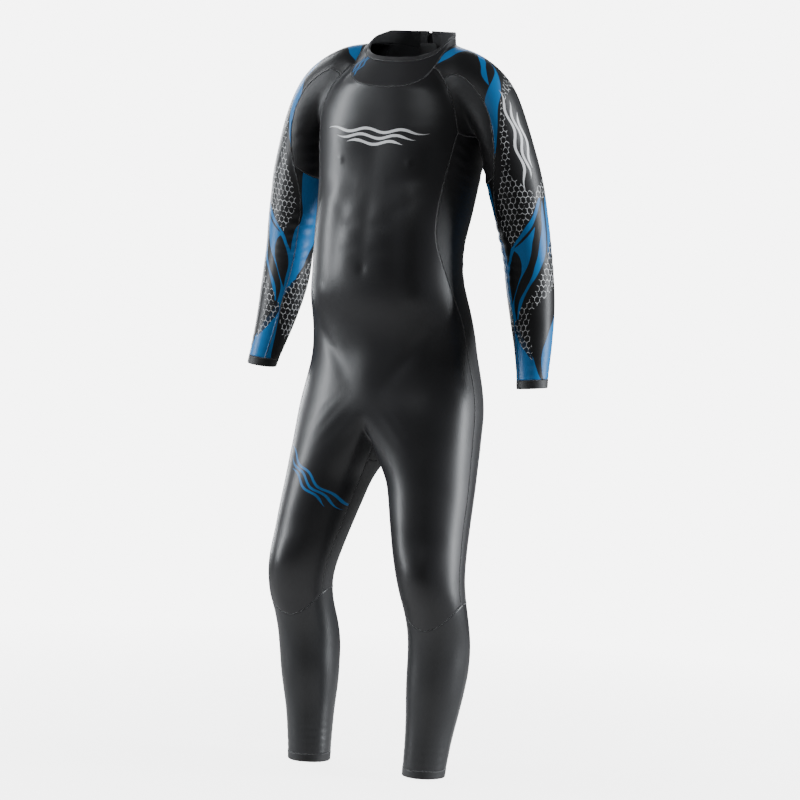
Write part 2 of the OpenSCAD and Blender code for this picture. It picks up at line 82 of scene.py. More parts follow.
BACK_Y = ((700, 130), (735, 134), (770, 131), (805, 122), (845, 112), (880, 97),
          (915, 80), (950, 68), (985, 60), (1020, 64), (1055, 74), (1090, 82), (1130, 88),
          (1165, 92), (1200, 95), (1235, 96), (1275, 95), (1315, 93.5), (1355, 92),
          (1380, 91.5), (1405, 91))
FURROW = ((845, 0), (945, 1), (1500, 1))
FRONT_SEAM = ((700, 90), (800, 88), (880, 85), (945, 79), (980, 71), (1005, 63),
              (1035, 56), (1080, 52), (1115, 52), (1160, 54), (1235, 60))
BACK_SEAM = ((700, 102), (850, 104), (1000, 108), (1160, 113), (1235, 118))
NECK_SEAM = ((0, 78), (15, 81), (30, 93), (45, 111), (52, 119), (60, 128), (75, 149),
             (90, 163), (105, 168), (130, 168), (150, 165), (180, 159))
NECK_RIM = ((0, 137), (30, 140), (60, 152), (90, 180), (120, 193), (180, 195))
LEG_X = ((0, 127), (60, 130), (135, 136), (215, 142), (330, 149), (405, 138), (445, 131),
         (485, 124), (525, 118), (562, 112))
LEG_Y = ((0, -13), (60, -9), (135, -6), (215, -6), (250, -10), (290, -24), (330, -46),
         (370, -57), (405, -57), (445, -47), (485, -38), (525, -28), (562, -18))
LEG_HALF_X = ((0, 41), (60, 44), (100, 47), (135, 52), (175, 57), (215, 59), (290, 59),
              (330, 61), (370, 63), (405, 67), (445, 71), (485, 75), (525, 79), (562, 84))
LEG_HALF_Y = ((0, 44), (60, 49), (100, 52), (135, 58), (175, 65), (215, 67), (250, 66),
              (290, 63), (330, 66), (370, 71), (405, 76), (445, 81), (485, 86), (525, 90),
              (562, 94))
# Sleeve rings: outer X and Z, inner X and Z, middle Y, half depth, angle of the front seam
RINGS = ((118, 1396, 170, 1227, 5, 70, 63), (148, 1386, 173, 1218, 4, 68, 65),
         (178, 1370, 176, 1208, 3, 66, 67), (205, 1348, 179, 1197, 2, 64, 70),
         (228, 1318, 181, 1185, 2, 62, 74), (246, 1280, 182, 1170, 4, 60, 80),
         (262, 1238, 183, 1153, 8, 58, 92), (277, 1192, 185, 1133, 14, 56, 108),
         (289, 1150, 188, 1112, 20, 54, 124), (296, 1108, 195, 1083, 26, 52, 134),
         (302, 1068, 203, 1048, 31, 50, 138), (307, 1030, 211, 1014, 36, 48, 138),
         (310, 995, 216, 982, 40, 46, 136), (314, 960, 220, 948, 43, 47, 132),
         (318, 925, 227, 914, 43, 46, 128), (320, 888, 236, 878, 40, 42, 126),
         (322, 850, 247, 841, 35, 38, 126), (323, 815, 256, 807, 28, 34, 126),
         (325, 775, 266, 769, 17, 30, 126), (326, 763, 268, 757, 15, 29.5, 126))
ARMPIT, CROTCH, LEG_TOP, KNEE, KNEE_DIP, ANKLE_BAND = 1235, 700, 562, 345, 58, 12
TRUNK_ROWS, ZIP_ROW, HIP_ROWS, KNEE_ROW, HEM_ROW, ANKLE_ROW = 15, 8, 4, 11, 20, 21
# The trunk's columns, from the middle of the front to the middle of the back. SLOT_COL is the
# edge of the zip's slot, which takes the place of the last column beside the zip.
FRONT_COL, SIDE_COL, ZIP_COL, BACK_COL, SLOT_COL = 6, 10, 17, 18, 19
YOKE_STEPS = (0, 1 / 6, 2 / 6, 3 / 6, 4 / 6, 5 / 6, 11 / 12, 1)
YOKE_ROWS, NECK_ROWS = len(YOKE_STEPS) - 1, 3
ARM_COLS, LEG_COLS, NECK_COLS, LAST_RING, ELBOW_RING = 26, 24, 22, 20, 8
ZIP_Z, ZIP_Y = CROTCH + (ARMPIT - CROTCH) * ZIP_ROW / TRUNK_ROWS, 60
ZIP_LEAN = math.atan(0.0712)  # radians, and so small that it is the slope as well
SLOT_HALF, ZIP_FLAT = 9, 26
BINDING = 6
ROUNDNESS = 0.85  # 1 is an ellipse, and less is squarer


def mix(a, b, t):
    return a + (b - a) * t


def look(table, z):
    """The table's value at a height or an angle, with straight lines between its rows."""
    return float(np.interp(z, *zip(*table)))


def sin(degrees):
    return math.sin(math.radians(degrees))


def cos(degrees):
    return math.cos(math.radians(degrees))


def rounded(s):
    return math.copysign(abs(s) ** ROUNDNESS, s) if abs(s) > 1e-9 else 0.0


def bell(x, at, width):
    return math.exp(-((x - at) / width) ** 2)


def zip_y(z):
    return ZIP_Y + (z - ZIP_Z) * ZIP_LEAN


# ---------------------------------------------------------------- grids of the surface
def trunk(angle, z):
    """A point on the trunk at an angle from the front."""
    mid, back_y = look(MIDDLE_Y, z), look(BACK_Y, z)
    x = look(HALF_WIDTH, z) * rounded(sin(angle))
    if angle < 90:
        y = (look(FRONT_Y, z) - mid) * rounded(cos(angle))
        return x, mid + y - 5 * bell(z, 1215, 55) * sin(2 * angle) ** 2, z
    furrow = (mix(back_y, mid, 0.015) - zip_y(max(z, ZIP_Z))) * look(FURROW, z)
    y = (mid - back_y) * rounded(cos(angle)) + 12 * bell(z, 1230, 80) * sin(2 * angle) ** 2
    return x, mid + y - furrow * bell(max(x, ZIP_FLAT), ZIP_FLAT, 45), z


def beside_zip(column, z):
    return ZIP_FLAT if column == ZIP_COL else SLOT_HALF, zip_y(z), z


def trunk_at(row, col):
    z = CROTCH + (ARMPIT - CROTCH) * row / TRUNK_ROWS
    front, back = look(FRONT_SEAM, z), look(BACK_SEAM, z)
    if col == SLOT_COL or col == ZIP_COL and row >= ZIP_ROW:
        return beside_zip(col, z)
    angle = (front * col / 6 if col <= 6 else mix(front, back, (col - 6) / 4) if col <= 10
             else mix(back, 180, (col - 10) / 8))
    return trunk(angle, z)


def yoke_at(row, col):
    """A point between the armpits' height, on row 0, and the neck's seam, on the last row."""
    def angle(share):
        if col <= FRONT_COL:
            return mix(60, 52, share) * col / 6
        return mix(mix(118, 130, share), 180, (col - 10) / 8)
    step = YOKE_STEPS[row]
    z = ARMPIT + look(NECK_SEAM, angle(1)) * step
    return beside_zip(col, z) if col >= ZIP_COL else trunk(angle(step), z)


def neck_angle(col):
    return (52 * col / 6 if col <= 6 else mix(52, 130, (col - 6) / 8) if col <= 14
            else mix(130, 180, (col - 14) / 8))


def neck_base(col):
    if col < FRONT_COL:
        return yoke_at(YOKE_ROWS, col)
    if col > 14:
        return yoke_at(YOKE_ROWS, col - 4)
    return trunk(neck_angle(col), ARMPIT + look(NECK_SEAM, neck_angle(col)))


def neck_at(row, col):
    angle = neck_angle(col)
    z = ARMPIT + look(NECK_RIM, angle)
    top = (80 * rounded(sin(angle)), 14 - (72 if angle < 90 else 74.5) * rounded(cos(angle)), z)
    if col >= NECK_COLS - 1:
        top = (2.5 if col == NECK_COLS else 24, 88.5, z)
    low = neck_base(col)
    bind = 1 - BINDING / (z - low[2])
    share = (0, bind / 2, bind, 1)[row]
    return tuple(mix(a, b, share) for a, b in zip(low, top))


def ring_angle(ring, col):
    front = 62.5 if ring == 0 else RINGS[ring - 1][6]
    return (front * col / 6 if col <= 6 else mix(front, 180, (col - 6) / 7) if col <= 13
            else mix(180, 360 - front, (col - 13) / 7) if col <= 20
            else mix(360 - front, 360, (col - 20) / 6))


def sleeve_at(ring, col):
    col %= ARM_COLS
    if ring == 0:  # the armhole: neck seam, front raglan seam, armpit, back raglan seam
        return (neck_base(10 - col) if col < 4 else neck_base(36 - col) if col > 22
                else yoke_at(11 - col, 6) if col < 11 else yoke_at(col - 15, 10) if col > 15
                else trunk_at(TRUNK_ROWS, col - 5))
    ox, oz, ix, iz, y, depth, _ = RINGS[ring - 1]
    a = ring_angle(ring, col)
    return ((ox + ix) / 2 + (ox - ix) / 2 * cos(a), y - depth * sin(a),
            (oz + iz) / 2 + (oz - iz) / 2 * cos(a))


def leg_angle(col):
    return (22.5 * col - 45 if col <= 6 else 90 + 3 * (col - 6) if col <= 10
            else mix(102, 225, (col - 10) / 8) if col <= 18 else 225 + 15 * (col - 18))


def leg_ring(angle, z):
    return (look(LEG_X, z) + look(LEG_HALF_X, z) * sin(angle),
            look(LEG_Y, z) - look(LEG_HALF_Y, z) * cos(angle), z)


def leg_at(row, col):
    col %= LEG_COLS
    a = leg_angle(col)
    knee = KNEE - KNEE_DIP * max(0, cos(a)) ** 1.5
    if row < HIP_ROWS:
        turn = 30 * (col - BACK_COL)
        top = (trunk_at(0, col) if col <= BACK_COL
               else (0, 10 + 120 * cos(turn), CROTCH - 72 * sin(turn)))
        return tuple(mix(p, q, row / HIP_ROWS) for p, q in zip(top, leg_ring(a, LEG_TOP)))
    if row <= KNEE_ROW:
        return leg_ring(a, mix(LEG_TOP, knee, (row - HIP_ROWS) / (KNEE_ROW - HIP_ROWS)))
    return leg_ring(a, mix(knee, ANKLE_BAND, (row - KNEE_ROW) / (HEM_ROW - KNEE_ROW))
                    if row <= HEM_ROW else 0)


# ---------------------------------------------------------------- the cage and its panels
def trunk_owner(row, col):
    return ("front_panel" if col < FRONT_COL else "side_panel" if col < SIDE_COL
            else "seat_panel" if row < ZIP_ROW else "upper_back")


def sleeve_owner(ring, col):
    return ("cuff_hem" if ring == LAST_RING - 1 else "sleeve" if col < 6 or col >= 20
            else "underarm" if ring < ELBOW_RING else "forearm")


def leg_owner(row, col):
    return ("ankle_hem" if row >= HEM_ROW else "lower_leg" if row >= KNEE_ROW
            else "front_panel" if col < FRONT_COL or col >= 22 else "side_panel" if col < SIDE_COL
            else "thigh_back" if row >= 2 else "seat_panel" if col < 20 else "crotch_gusset")


SHARED = ("front_panel", "seat_panel", "crotch_gusset", "neck_band", "neck_binding")


def sleeve_coordinates():
    """A function that gives, for a sleeve corner: metres round and along, the turn and the ring."""
    grid = np.array([[sleeve_at(j, c) for c in range(ARM_COLS)] for j in range(LAST_RING + 1)])
    step = np.linalg.norm(np.roll(grid, -1, axis=1) - grid, axis=2) * MM
    along = np.linalg.norm(np.diff(grid, axis=0), axis=2) * MM
    height = np.vstack([np.cumsum(along[::-1], axis=0)[::-1], np.zeros(ARM_COLS)])

    def corner(ring, col, behind):
        """Behind the arm, the way round is counted backwards from the outer line."""
        row, col = max(ring, 1), col % ARM_COLS
        turn, round_it = ring_angle(ring, col) / 360, step[row, :col].sum()
        if behind:
            turn, round_it = (turn - 1, -step[row, col:].sum()) if col else (0, 0.0)
        return round_it, height[ring, col], turn, ring / LAST_RING
    return corner


def cells(rows, cols):
    """Every cell of a grid, with its four corners in order."""
    for row in rows:
        for col in cols:
            yield row, col, [(row, col), (row, col + 1), (row + 1, col + 1), (row + 1, col)]


def half_cells():
    """Every cell of the left half: its panel, its corners and the print's coordinates there."""
    print_at = sleeve_coordinates()
    plain = (0, 0, 0, 0)
    for row, col, spots in cells(range(TRUNK_ROWS), range(BACK_COL)):
        panel = trunk_owner(row, col)
        if col == ZIP_COL and panel == "upper_back":
            spots[1:3] = (row, SLOT_COL), (row + 1, SLOT_COL)
        if (row, col) == (ZIP_ROW - 1, ZIP_COL):  # the slot for the zip ends on this edge
            spots.insert(3, (ZIP_ROW, SLOT_COL))
        yield panel, [trunk_at(*s) for s in spots], [plain] * len(spots)
    for row, col, spots in cells(range(YOKE_ROWS), [*range(FRONT_COL), *range(SIDE_COL, BACK_COL)]):
        panel = "front_panel" if col < FRONT_COL else "upper_back"
        yield panel, [yoke_at(*s) for s in spots], [plain] * 4
    for row, col, spots in cells(range(NECK_ROWS), range(NECK_COLS)):
        panel = "neck_band" if row < NECK_ROWS - 1 else "neck_binding"
        yield panel, [neck_at(*s) for s in spots], [plain] * 4
    for ring, col, spots in cells(range(LAST_RING), range(ARM_COLS)):
        behind = col >= ARM_COLS // 2
        yield (sleeve_owner(ring, col), [sleeve_at(*s) for s in spots],
               [print_at(*s, behind) for s in spots])
    for row, col, spots in cells(range(ANKLE_ROW), range(LEG_COLS)):
        spots[1], spots[3] = spots[3], spots[1]  # a leg's rows count downwards
        yield leg_owner(row, col), [leg_at(*s) for s in spots], [plain] * 4


def body_cage():
    """The whole suit as one coarse surface. Each face remembers its panel."""
    spots, faces, owners, prints = {}, [], [], []
    for panel, corners, uv in half_cells():
        for side in (1, -1):
            ids = [spots.setdefault((round(x * side, 2) + 0.0, round(y, 2), round(z, 2)), len(spots))
                   for x, y, z in corners]
            order = slice(None) if side == 1 else slice(None, None, -1)
            faces.append(ids[order])
            prints.extend(uv[order])
            prefix = "" if panel in SHARED else "left_" if side == 1 else "right_"
            owners.append(PANELS.index(prefix + panel))
    mesh = bpy.data.meshes.new("cage")
    mesh.from_pydata([(x * MM, y * MM, z * MM + HEM) for x, y, z in spots], [], faces)
    prints = np.array(prints, dtype=np.float32)
    for name, pair in (("cut", prints[:, :2]), ("turn", prints[:, 2:])):
        mesh.uv_layers.new(name=name).uv.foreach_set("vector", pair.ravel())
    mesh.attributes.new("panel", "INT", "FACE").data.foreach_set("value", owners)
    creases = mesh.attributes.new("crease_edge", "FLOAT", "EDGE").data
    home = {}
    for face, owner in zip(faces, owners):
        for a, b in zip(face, face[1:] + face[:1]):
            home.setdefault((min(a, b), max(a, b)), set()).add(PANELS[owner])
    for edge, crease in zip(mesh.edges, creases):
        a, b = edge.vertices
        owners_here = home[min(a, b), max(a, b)]
        if "neck_band" in owners_here and len(owners_here) > 1 and "neck_binding" not in owners_here:
            crease.value = 0.55
    return mesh


def in_scene(name, data):
    """A new object with this mesh, lamp or lens, linked to the scene."""
    thing = bpy.data.objects.new(name, data)
    bpy.context.scene.collection.objects.link(thing)
    return thing


def refined(mesh, levels):
    cage = in_scene("cage", mesh)
    smooth = cage.modifiers.new("smooth", "SUBSURF")
    smooth.levels = smooth.render_levels = levels
    smooth.boundary_smooth = "PRESERVE_CORNERS"
    fine = applied(cage)
    bpy.data.objects.remove(cage)
    return fine


def applied(obj):
    """The object's mesh with its modifiers applied, as a plain new mesh."""
    graph = bpy.context.evaluated_depsgraph_get()
    return bpy.data.meshes.new_from_object(obj.evaluated_get(graph), depsgraph=graph)


def read(collection, field, width, kind=np.float32):
    values = np.empty(len(collection) * width, dtype=kind)
    collection.foreach_get(field, values)
    return values.reshape(-1, width) if width > 1 else values


# ---------------------------------------------------------------- soft modelling of the surface
def hill(x, z, at_x, at_z, wide, tall, turn=0.0):
    """A soft round hill, 1 at its middle, with its long side turned by some degrees."""
    dx, dz = x - at_x, z - at_z
    a, b = dx * cos(turn) + dz * sin(turn), dz * cos(turn) - dx * sin(turn)
    return np.exp(-(a / wide) ** 2 - (b / tall) ** 2)


def crease_line(x, z, start, end, width):
    """1 along a line from start to end, and 0 away from it."""
    (x0, z0), (x1, z1) = start, end
    share = ((x - x0) * (x1 - x0) + (z - z0) * (z1 - z0)) / ((x1 - x0) ** 2 + (z1 - z0) ** 2)
    share = np.clip(share, 0, 1)
    gap = np.hypot(x - x0 - share * (x1 - x0), z - z0 - share * (z1 - z0))
    return np.exp(-(gap / width) ** 2) * np.sin(np.pi * np.clip(share, 0.08, 0.92))


# Front of the body: height in mm, then where it is (X of the left side, Z), size and turn
FRONT_HILLS = ((3.6, 68, 1198, 50, 38, -12), (1.6, 42, 1252, 44, 30, 0), (1.5, 73, 1172, 6, 6, 0),
               (-0.7, 0, 1180, 18, 50, 0), (-0.8, 0, 1050, 13, 80, 0), (-1.8, 0, 968, 8, 11, 0),
               (1.0, 30, 1078, 22, 20, 0), (1.0, 30, 1030, 22, 20, 0), (0.9, 30, 980, 22, 24, 0),
               (2.6, 84, 1090, 26, 50, 18), (-1.4, 62, 1010, 18, 74, 6), (2.6, 98, 925, 28, 30, 0),
               (2.4, 0, 905, 50, 54, 0), (5.0, 0, 770, 36, 50, 0), (2.6, 96, 640, 48, 115, 4),
               (3.4, 148, 392, 30, 40, 0), (-2.0, 142, 462, 34, 24, 0), (-1.6, 138, 322, 30, 20, 0))
FRONT_CREASES = ((-1.8, (128, 868), (34, 742), 13), (-1.2, (112, 1150), (22, 1128), 15),
                 (-1.0, (96, 1106), (34, 1062), 13), (-0.7, (60, 1054), (6, 1052), 9),
                 (-0.7, (60, 1004), (6, 1006), 9), (-0.9, (112, 955), (70, 915), 12))
BACK_HILLS = ((7.0, 74, 812, 56, 60, 0), (-4.0, 0, 790, 12, 70, 0), (3.4, 92, 1190, 44, 62, -14),
              (3.0, 46, 1040, 24, 90, 0), (-2.0, 0, 1010, 22, 80, 0), (4.0, 132, 640, 50, 90, 0),
              (5.0, 124, 245, 26, 74, 8), (5.0, 162, 240, 26, 74, -8), (-2.0, 143, 205, 10, 70, 0))
BACK_CREASES = ((-3.0, (150, 715), (28, 690), 10), (-1.6, (185, 362), (112, 352), 6),
                (-1.4, (182, 342), (108, 334), 6), (-1.2, (178, 378), (118, 372), 6))
# Folds: height, middle, the direction across them, wave length and how far they reach, in mm
FOLDS = ((1.5, (172, -52, 1196), (0.55, 0.1, 0.83), 21, 34),
         (1.3, (178, -28, 1150), (0.3, 0, 0.95), 24, 30),
         (1.2, (168, 50, 1190), (0.5, 0, 0.87), 24, 38), (1.3, (214, 2, 1040), (0.2, 0.2, 0.96), 19, 30),
         (1.1, (232, 0, 985), (0.1, -0.3, 0.95), 17, 30), (0.9, (300, 84, 1010), (0.1, 0, 1), 22, 34),
         (1.2, (52, -60, 668), (0.75, 0.2, 0.62), 22, 40), (1.1, (40, 40, 650), (0.8, 0, 0.6), 24, 44),
         (1.0, (148, 18, 352), (0.05, 0, 1), 17, 34), (0.8, (128, -10, 48), (0, 0, 1), 15, 36),
         (0.8, (296, 14, 800), (0.1, 0, 1), 15, 30), (0.9, (150, 40, 985), (0.1, 0.1, 0.97), 26, 44))
# Broad, low unevenness of hanging sheet rubber: height and size of its waves in mm
UNEVEN = ((0.45, 61), (0.3, 37), (0.18, 23))


def relief(points, normals):
    """How far each point of the surface moves outwards, in metres."""
    x, y = np.abs(points[:, 0]) / MM, points[:, 1] / MM
    z = (points[:, 2] - HEM) / MM
    arm = np.clip((x - (150 + np.clip(ARMPIT - z, 0, 500) * 0.1)) / 12, 0, 1) * (z > 730)
    out = np.zeros(len(points))
    for sign, hills, lines in ((-1, FRONT_HILLS, FRONT_CREASES), (1, BACK_HILLS, BACK_CREASES)):
        facing = np.clip(normals[:, 1] * sign * 1.6, 0, 1) * (1 - arm)
        for size, at_x, at_z, wide, tall, turn in hills:
            bump = hill(x, z, at_x, at_z, wide, tall, turn)
            if at_x:  # the other side's hill reaches over the middle
                bump = bump + hill(-x, z, at_x, at_z, wide, tall, turn)
            out += size * bump * facing
        for size, start, end, width in lines:
            out += size * crease_line(x, z, start, end, width) * facing
    for index, (size, middle, across, wave, reach) in enumerate(FOLDS):
        gap = np.stack([x, y, z], axis=1) - middle
        along = gap @ across
        bend = 5 * np.sin(gap @ (0.7, 0.9, 0.3) / 19 + index)
        near = np.exp(-(gap ** 2).sum(axis=1) / reach ** 2)
        side = np.sin(index * 2.4 + points[:, 0] * 9)
        out += size * near * np.cos((along + bend) * 2 * np.pi / wave + side)
    signed_x = points[:, 0] / MM
    for size, wave in UNEVEN:
        out += size * np.sin(signed_x / wave + 1.7 * np.sin(z / wave * 0.8)) * np.sin(
            z / wave * 1.1 + 1.3 * np.sin(y / wave) + signed_x / 90)
    return out * MM


# ---------------------------------------------------------------- cutting the surface into panels
GROOVE_HALF, GROOVE_DEEP, SKIN = 1.3 * MM, 1.0 * MM, 3 * MM


def directed_edges(quads):
    return np.stack([quads, np.roll(quads, -1, axis=1)], axis=2).reshape(-1, 2)


class Surface:
    """The refined surface as arrays: points, normals, faces, panels and print coordinates."""

    def __init__(self, mesh):
        self.points = read(mesh.vertices, "co", 3)
        self.normals = read(mesh.vertex_normals, "vector", 3)
        self.points += self.normals * relief(self.points, self.normals)[:, None]
        mesh.vertices.foreach_set("co", self.points.ravel())
        mesh.update()
        self.normals = read(mesh.vertex_normals, "vector", 3)
        self.faces = read(mesh.loops, "vertex_index", 1, np.int32).reshape(-1, 4)
        self.panels = read(mesh.attributes["panel"].data, "value", 1, np.int32)
        self.prints = {name: read(mesh.uv_layers[name].uv, "vector", 2).reshape(-1, 4, 2)
                       for name in ("cut", "turn")}

    def seam_lines(self):
        """Points, normals and edges of every line where two panels meet."""
        edges = directed_edges(self.faces)
        owner = np.repeat(self.panels, 4)
        home = {(a, b): p for (a, b), p in zip(edges.tolist(), owner.tolist())}
        pairs = [(a, b) for (a, b), p in home.items() if a < b and home.get((b, a), p) != p]
        used, index = np.unique(np.array(pairs), return_inverse=True)
        return self.points[used], self.normals[used], index.reshape(-1, 2)


def panel_piece(surface, name, proud=0.0):
    """One panel: an outer sheet whose edges roll into the seams, a rim and a lining."""
    chosen = surface.panels == PANELS.index(name)
    used, quads = np.unique(surface.faces[chosen], return_inverse=True)
    quads = quads.reshape(-1, 4)
    points, normals = surface.points[used], surface.normals[used]
    edges = directed_edges(quads)
    known = set(map(tuple, edges.tolist()))
    rim = np.array([i for i, (a, b) in enumerate(edges.tolist()) if (b, a) not in known])
    a, b = edges[rim].T
    inward = np.zeros_like(points)
    side = np.cross(normals[a], points[b] - points[a])
    side /= np.linalg.norm(side, axis=1)[:, None]
    np.add.at(inward, a, side)
    np.add.at(inward, b, side)
    length = np.linalg.norm(inward, axis=1)
    on_rim = length > 0
    inward[on_rim] /= length[on_rim, None]
    count = len(points)
    outer = points + normals * proud + inward * GROOVE_HALF
    lip = points - normals * GROOVE_DEEP
    inner = points - normals * SKIN
    strip = np.stack([a, a + count, b + count, b], axis=1)
    wall = strip + count
    faces = np.concatenate([quads, strip, wall, quads[:, ::-1] + 2 * count])
    keep, faces = np.unique(faces, return_inverse=True)
    faces = faces.reshape(-1, 4)
    mesh = bpy.data.meshes.new(name)
    mesh.from_pydata(np.concatenate([outer, lip, inner])[keep], [], faces)
    rim_faces = np.repeat(rim // 4, 4).reshape(-1, 4)
    rim_corners = np.stack([rim % 4] * 2 + [(rim + 1) % 4] * 2, axis=1)
    for layer, corner in surface.prints.items():
        uv = corner[chosen]
        edge_uv = uv[rim_faces, rim_corners]
        every = np.concatenate([uv, edge_uv, edge_uv, uv[:, ::-1]])
        mesh.uv_layers.new(name=layer).uv.foreach_set("vector", every.astype(np.float32).ravel())
    lined = np.concatenate([np.zeros(len(quads) + len(strip)), np.ones(len(wall) + len(quads))])
    mesh.polygons.foreach_set("material_index", lined.astype(np.int32))
    mesh.polygons.foreach_set("use_smooth", np.ones(len(faces), dtype=bool))
    return in_scene(name + "_skin", mesh)


# ---------------------------------------------------------------- shader building
class Val:
    """A number that changes over a surface. Python's arithmetic on it adds Math nodes."""

    def __init__(self, shade, socket):
        self.shade, self.socket = shade, socket

    def __add__(self, other):
        return self.shade.math("ADD", self, other)

    def __sub__(self, other):
        return self.shade.math("SUBTRACT", self, other)

    def __rsub__(self, other):
        return self.shade.math("SUBTRACT", other, self)

    def __mul__(self, other):
        return self.shade.math("MULTIPLY", self, other)

    def __truediv__(self, other):
        return self.shade.math("DIVIDE", self, other)

    def __mod__(self, other):
        return self.shade.math("FLOORED_MODULO", self, other)

    def __abs__(self):
        return self.shade.math("ABSOLUTE", self)

    __radd__ = __add__
    __rmul__ = __mul__

    def clamped(self):
        return self.shade.math("ADD", self, 0, clamp=True)

    def least(self, other):
        return self.shade.math("MINIMUM", self, other)

    def most(self, other):
        return self.shade.math("MAXIMUM", self, other)

    def sine(self):
        return self.shade.math("SINE", self)


def opaque(colour):
    """A colour's four numbers, or the socket that it comes from."""
    return (*colour, 1) if isinstance(colour, tuple) else colour


class Shade:
    """A material and its nodes. Every node is made by one method."""

    def __init__(self, name):
        self.material = bpy.data.materials.new(name)
        self.material.use_nodes = True
        self.tree = self.material.node_tree
        self.tree.nodes.clear()

    def node(self, kind, settings=(), sockets=()):
        made = self.tree.nodes.new("ShaderNode" + kind)
        for name, value in dict(settings).items():
            if name == "stops":
                for at, colour in value:
                    stop = (made.color_ramp.elements[0] if at == value[0][0]
                            else made.color_ramp.elements.new(at))
                    stop.position, stop.color = at, (*colour, 1)
                made.color_ramp.elements.remove(made.color_ramp.elements[-1])
            elif name == "curve":
                points = made.mapping.curves[0].points
                points[0].location, points[1].location = value[0], value[-1]
                for at in value[1:-1]:
                    points.new(*at)
                made.mapping.update()
            else:
                setattr(made, name, value)
        for name, value in dict(sockets).items():
            if isinstance(value, Val):
                value = value.socket
            if isinstance(value, bpy.types.NodeSocket):
                self.tree.links.new(value, made.inputs[name])
            else:
                made.inputs[name].default_value = value
        return made

    def value(self, kind, settings=(), sockets=(), output=0):
        return Val(self, self.node(kind, settings, sockets).outputs[output])

    def math(self, operation, a, b=0.0, clamp=False):
        return self.value("Math", {"operation": operation, "use_clamp": clamp}, {0: a, 1: b})

    def mix_colour(self, share, a, b):
        """Colour a where share is 0, and b where it is 1."""
        mixed = self.node("Mix", {"data_type": "RGBA"}, {0: share, 6: opaque(a), 7: opaque(b)})
        return mixed.outputs[2]

    def spot(self):
        return self.node("TexCoord").outputs["Object"]

    def place(self):
        """X, Y and Z on the finished piece, and the socket that carries all three."""
        spot = self.spot()
        split = self.node("SeparateXYZ", sockets={0: spot})
        return [Val(self, s) for s in split.outputs] + [spot]

    def print_layer(self, name):
        split = self.node("SeparateXYZ", sockets={0: self.node("UVMap", {"uv_map": name}).outputs[0]})
        return Val(self, split.outputs[0]), Val(self, split.outputs[1])

    def noise(self, scale, detail=2.0, spot=None):
        return self.value("TexNoise", sockets={"Vector": spot or self.spot(), "Scale": scale,
                                               "Detail": detail})

    def bump(self, height, deep, strength=1.0):
        return self.node("Bump", sockets={"Height": height, "Distance": deep,
                                          "Strength": strength}).outputs[0]

    def finish(self, colour, roughness, normal=None, **fixed):
        sockets = {"Base Color": opaque(colour), "Roughness": roughness}
        sockets.update({name.replace("_", " "): value for name, value in fixed.items()})
        if normal:
            sockets["Normal"] = normal
        shader = self.node("BsdfPrincipled", sockets=sockets)
        self.node("OutputMaterial", sockets={0: shader.outputs[0]})
        return self.material


BLUE, WHITE, BLACK = (0.0, 0.155, 0.43), (0.84, 0.85, 0.86), (0.009, 0.009, 0.010)
# Where the wave marks sit: heights, the thigh's X and Z, and the sleeve's way round and along
CHEST_MARK_Z, COLLAR_MARK_Z = HEM + 1.219, HEM + 1.36
THIGH_MARK, THIGH_MARK_TURN = (-0.104, HEM + 0.55), math.radians(-41)
ARM_MARK = (0.028, 0.475)


KNIT_PITCH = 1.15 * MM


def knit(shade):
    """Height of a fine jersey: columns of small V-shaped loops."""
    x, y, z, _ = shade.place()
    across = (x + y * 0.83) / KNIT_PITCH
    rows = (z + abs(across % 1 - 0.5) * KNIT_PITCH * 0.9) / (KNIT_PITCH * 0.8)
    return abs(across % 1 - 0.5) * -1.2 + abs(rows % 1 - 0.5) * 0.9


def waves(shade, along, across, length, rows, gap, swell, wave, thick):
    """A generic mark: a few parallel wavy lines, each shorter than the one above it."""
    mask = None
    for row in range(rows):
        reach = length / 2 * (1 - 0.22 * row)
        line = abs(across + (row - (rows - 1) / 2) * gap
                   + (along * (2 * math.pi / wave) + row * 0.9).sine() * swell)
        taper = ((reach - abs(along)) * (1 / (reach * 0.35))).clamped()
        ink = ((taper * thick - line) * (1 / (0.35 * MM))).clamped()
        mask = ink if mask is None else mask.most(ink)
    return mask


def smooth_skin(name, marks=None, dull=0.0):
    """Satin smooth-skin neoprene: closed rubber skin with a faint grain and scuffs."""
    s = Shade(name)
    x, y, z, spot = s.place()
    cloud = s.noise(7, 3, spot)
    grain = s.noise(850, 2, spot)
    ripple = s.noise(46, 3, spot)
    colour = s.mix_colour(cloud, (0.0075, 0.0075, 0.009), (0.015, 0.015, 0.0175))
    rough = cloud * 0.09 + grain * 0.05 + (0.345 + dull)
    if marks:
        for mask, ink in marks(s, x, y, z):
            colour = s.mix_colour(mask, colour, ink)
            rough = rough + mask * 0.08
    height = grain * 0.35 + ripple * 1.4
    return s.finish(colour, rough, s.bump(height, 0.22 * MM, 0.55),
                    Specular_IOR_Level=0.5, Coat_Weight=0.10, Coat_Roughness=0.28)


def chest_and_thigh_marks(s, x, y, z):
    """White waves across the chest and blue ones slanting down the right thigh."""
    chest = waves(s, x, z - CHEST_MARK_Z, 0.224, 3, 0.0115, 0.0036, 0.075, 0.0028)
    front = ((y + 0.03) * -400).clamped()
    turn_c, turn_s = math.cos(THIGH_MARK_TURN), math.sin(THIGH_MARK_TURN)
    px, pz = x - THIGH_MARK[0], z - THIGH_MARK[1]
    thigh = waves(s, px * turn_c + pz * turn_s, pz * turn_c - px * turn_s,
                  0.19, 3, 0.0105, 0.0036, 0.06, 0.0026)
    return (chest * front, WHITE), (thigh * front, BLUE)


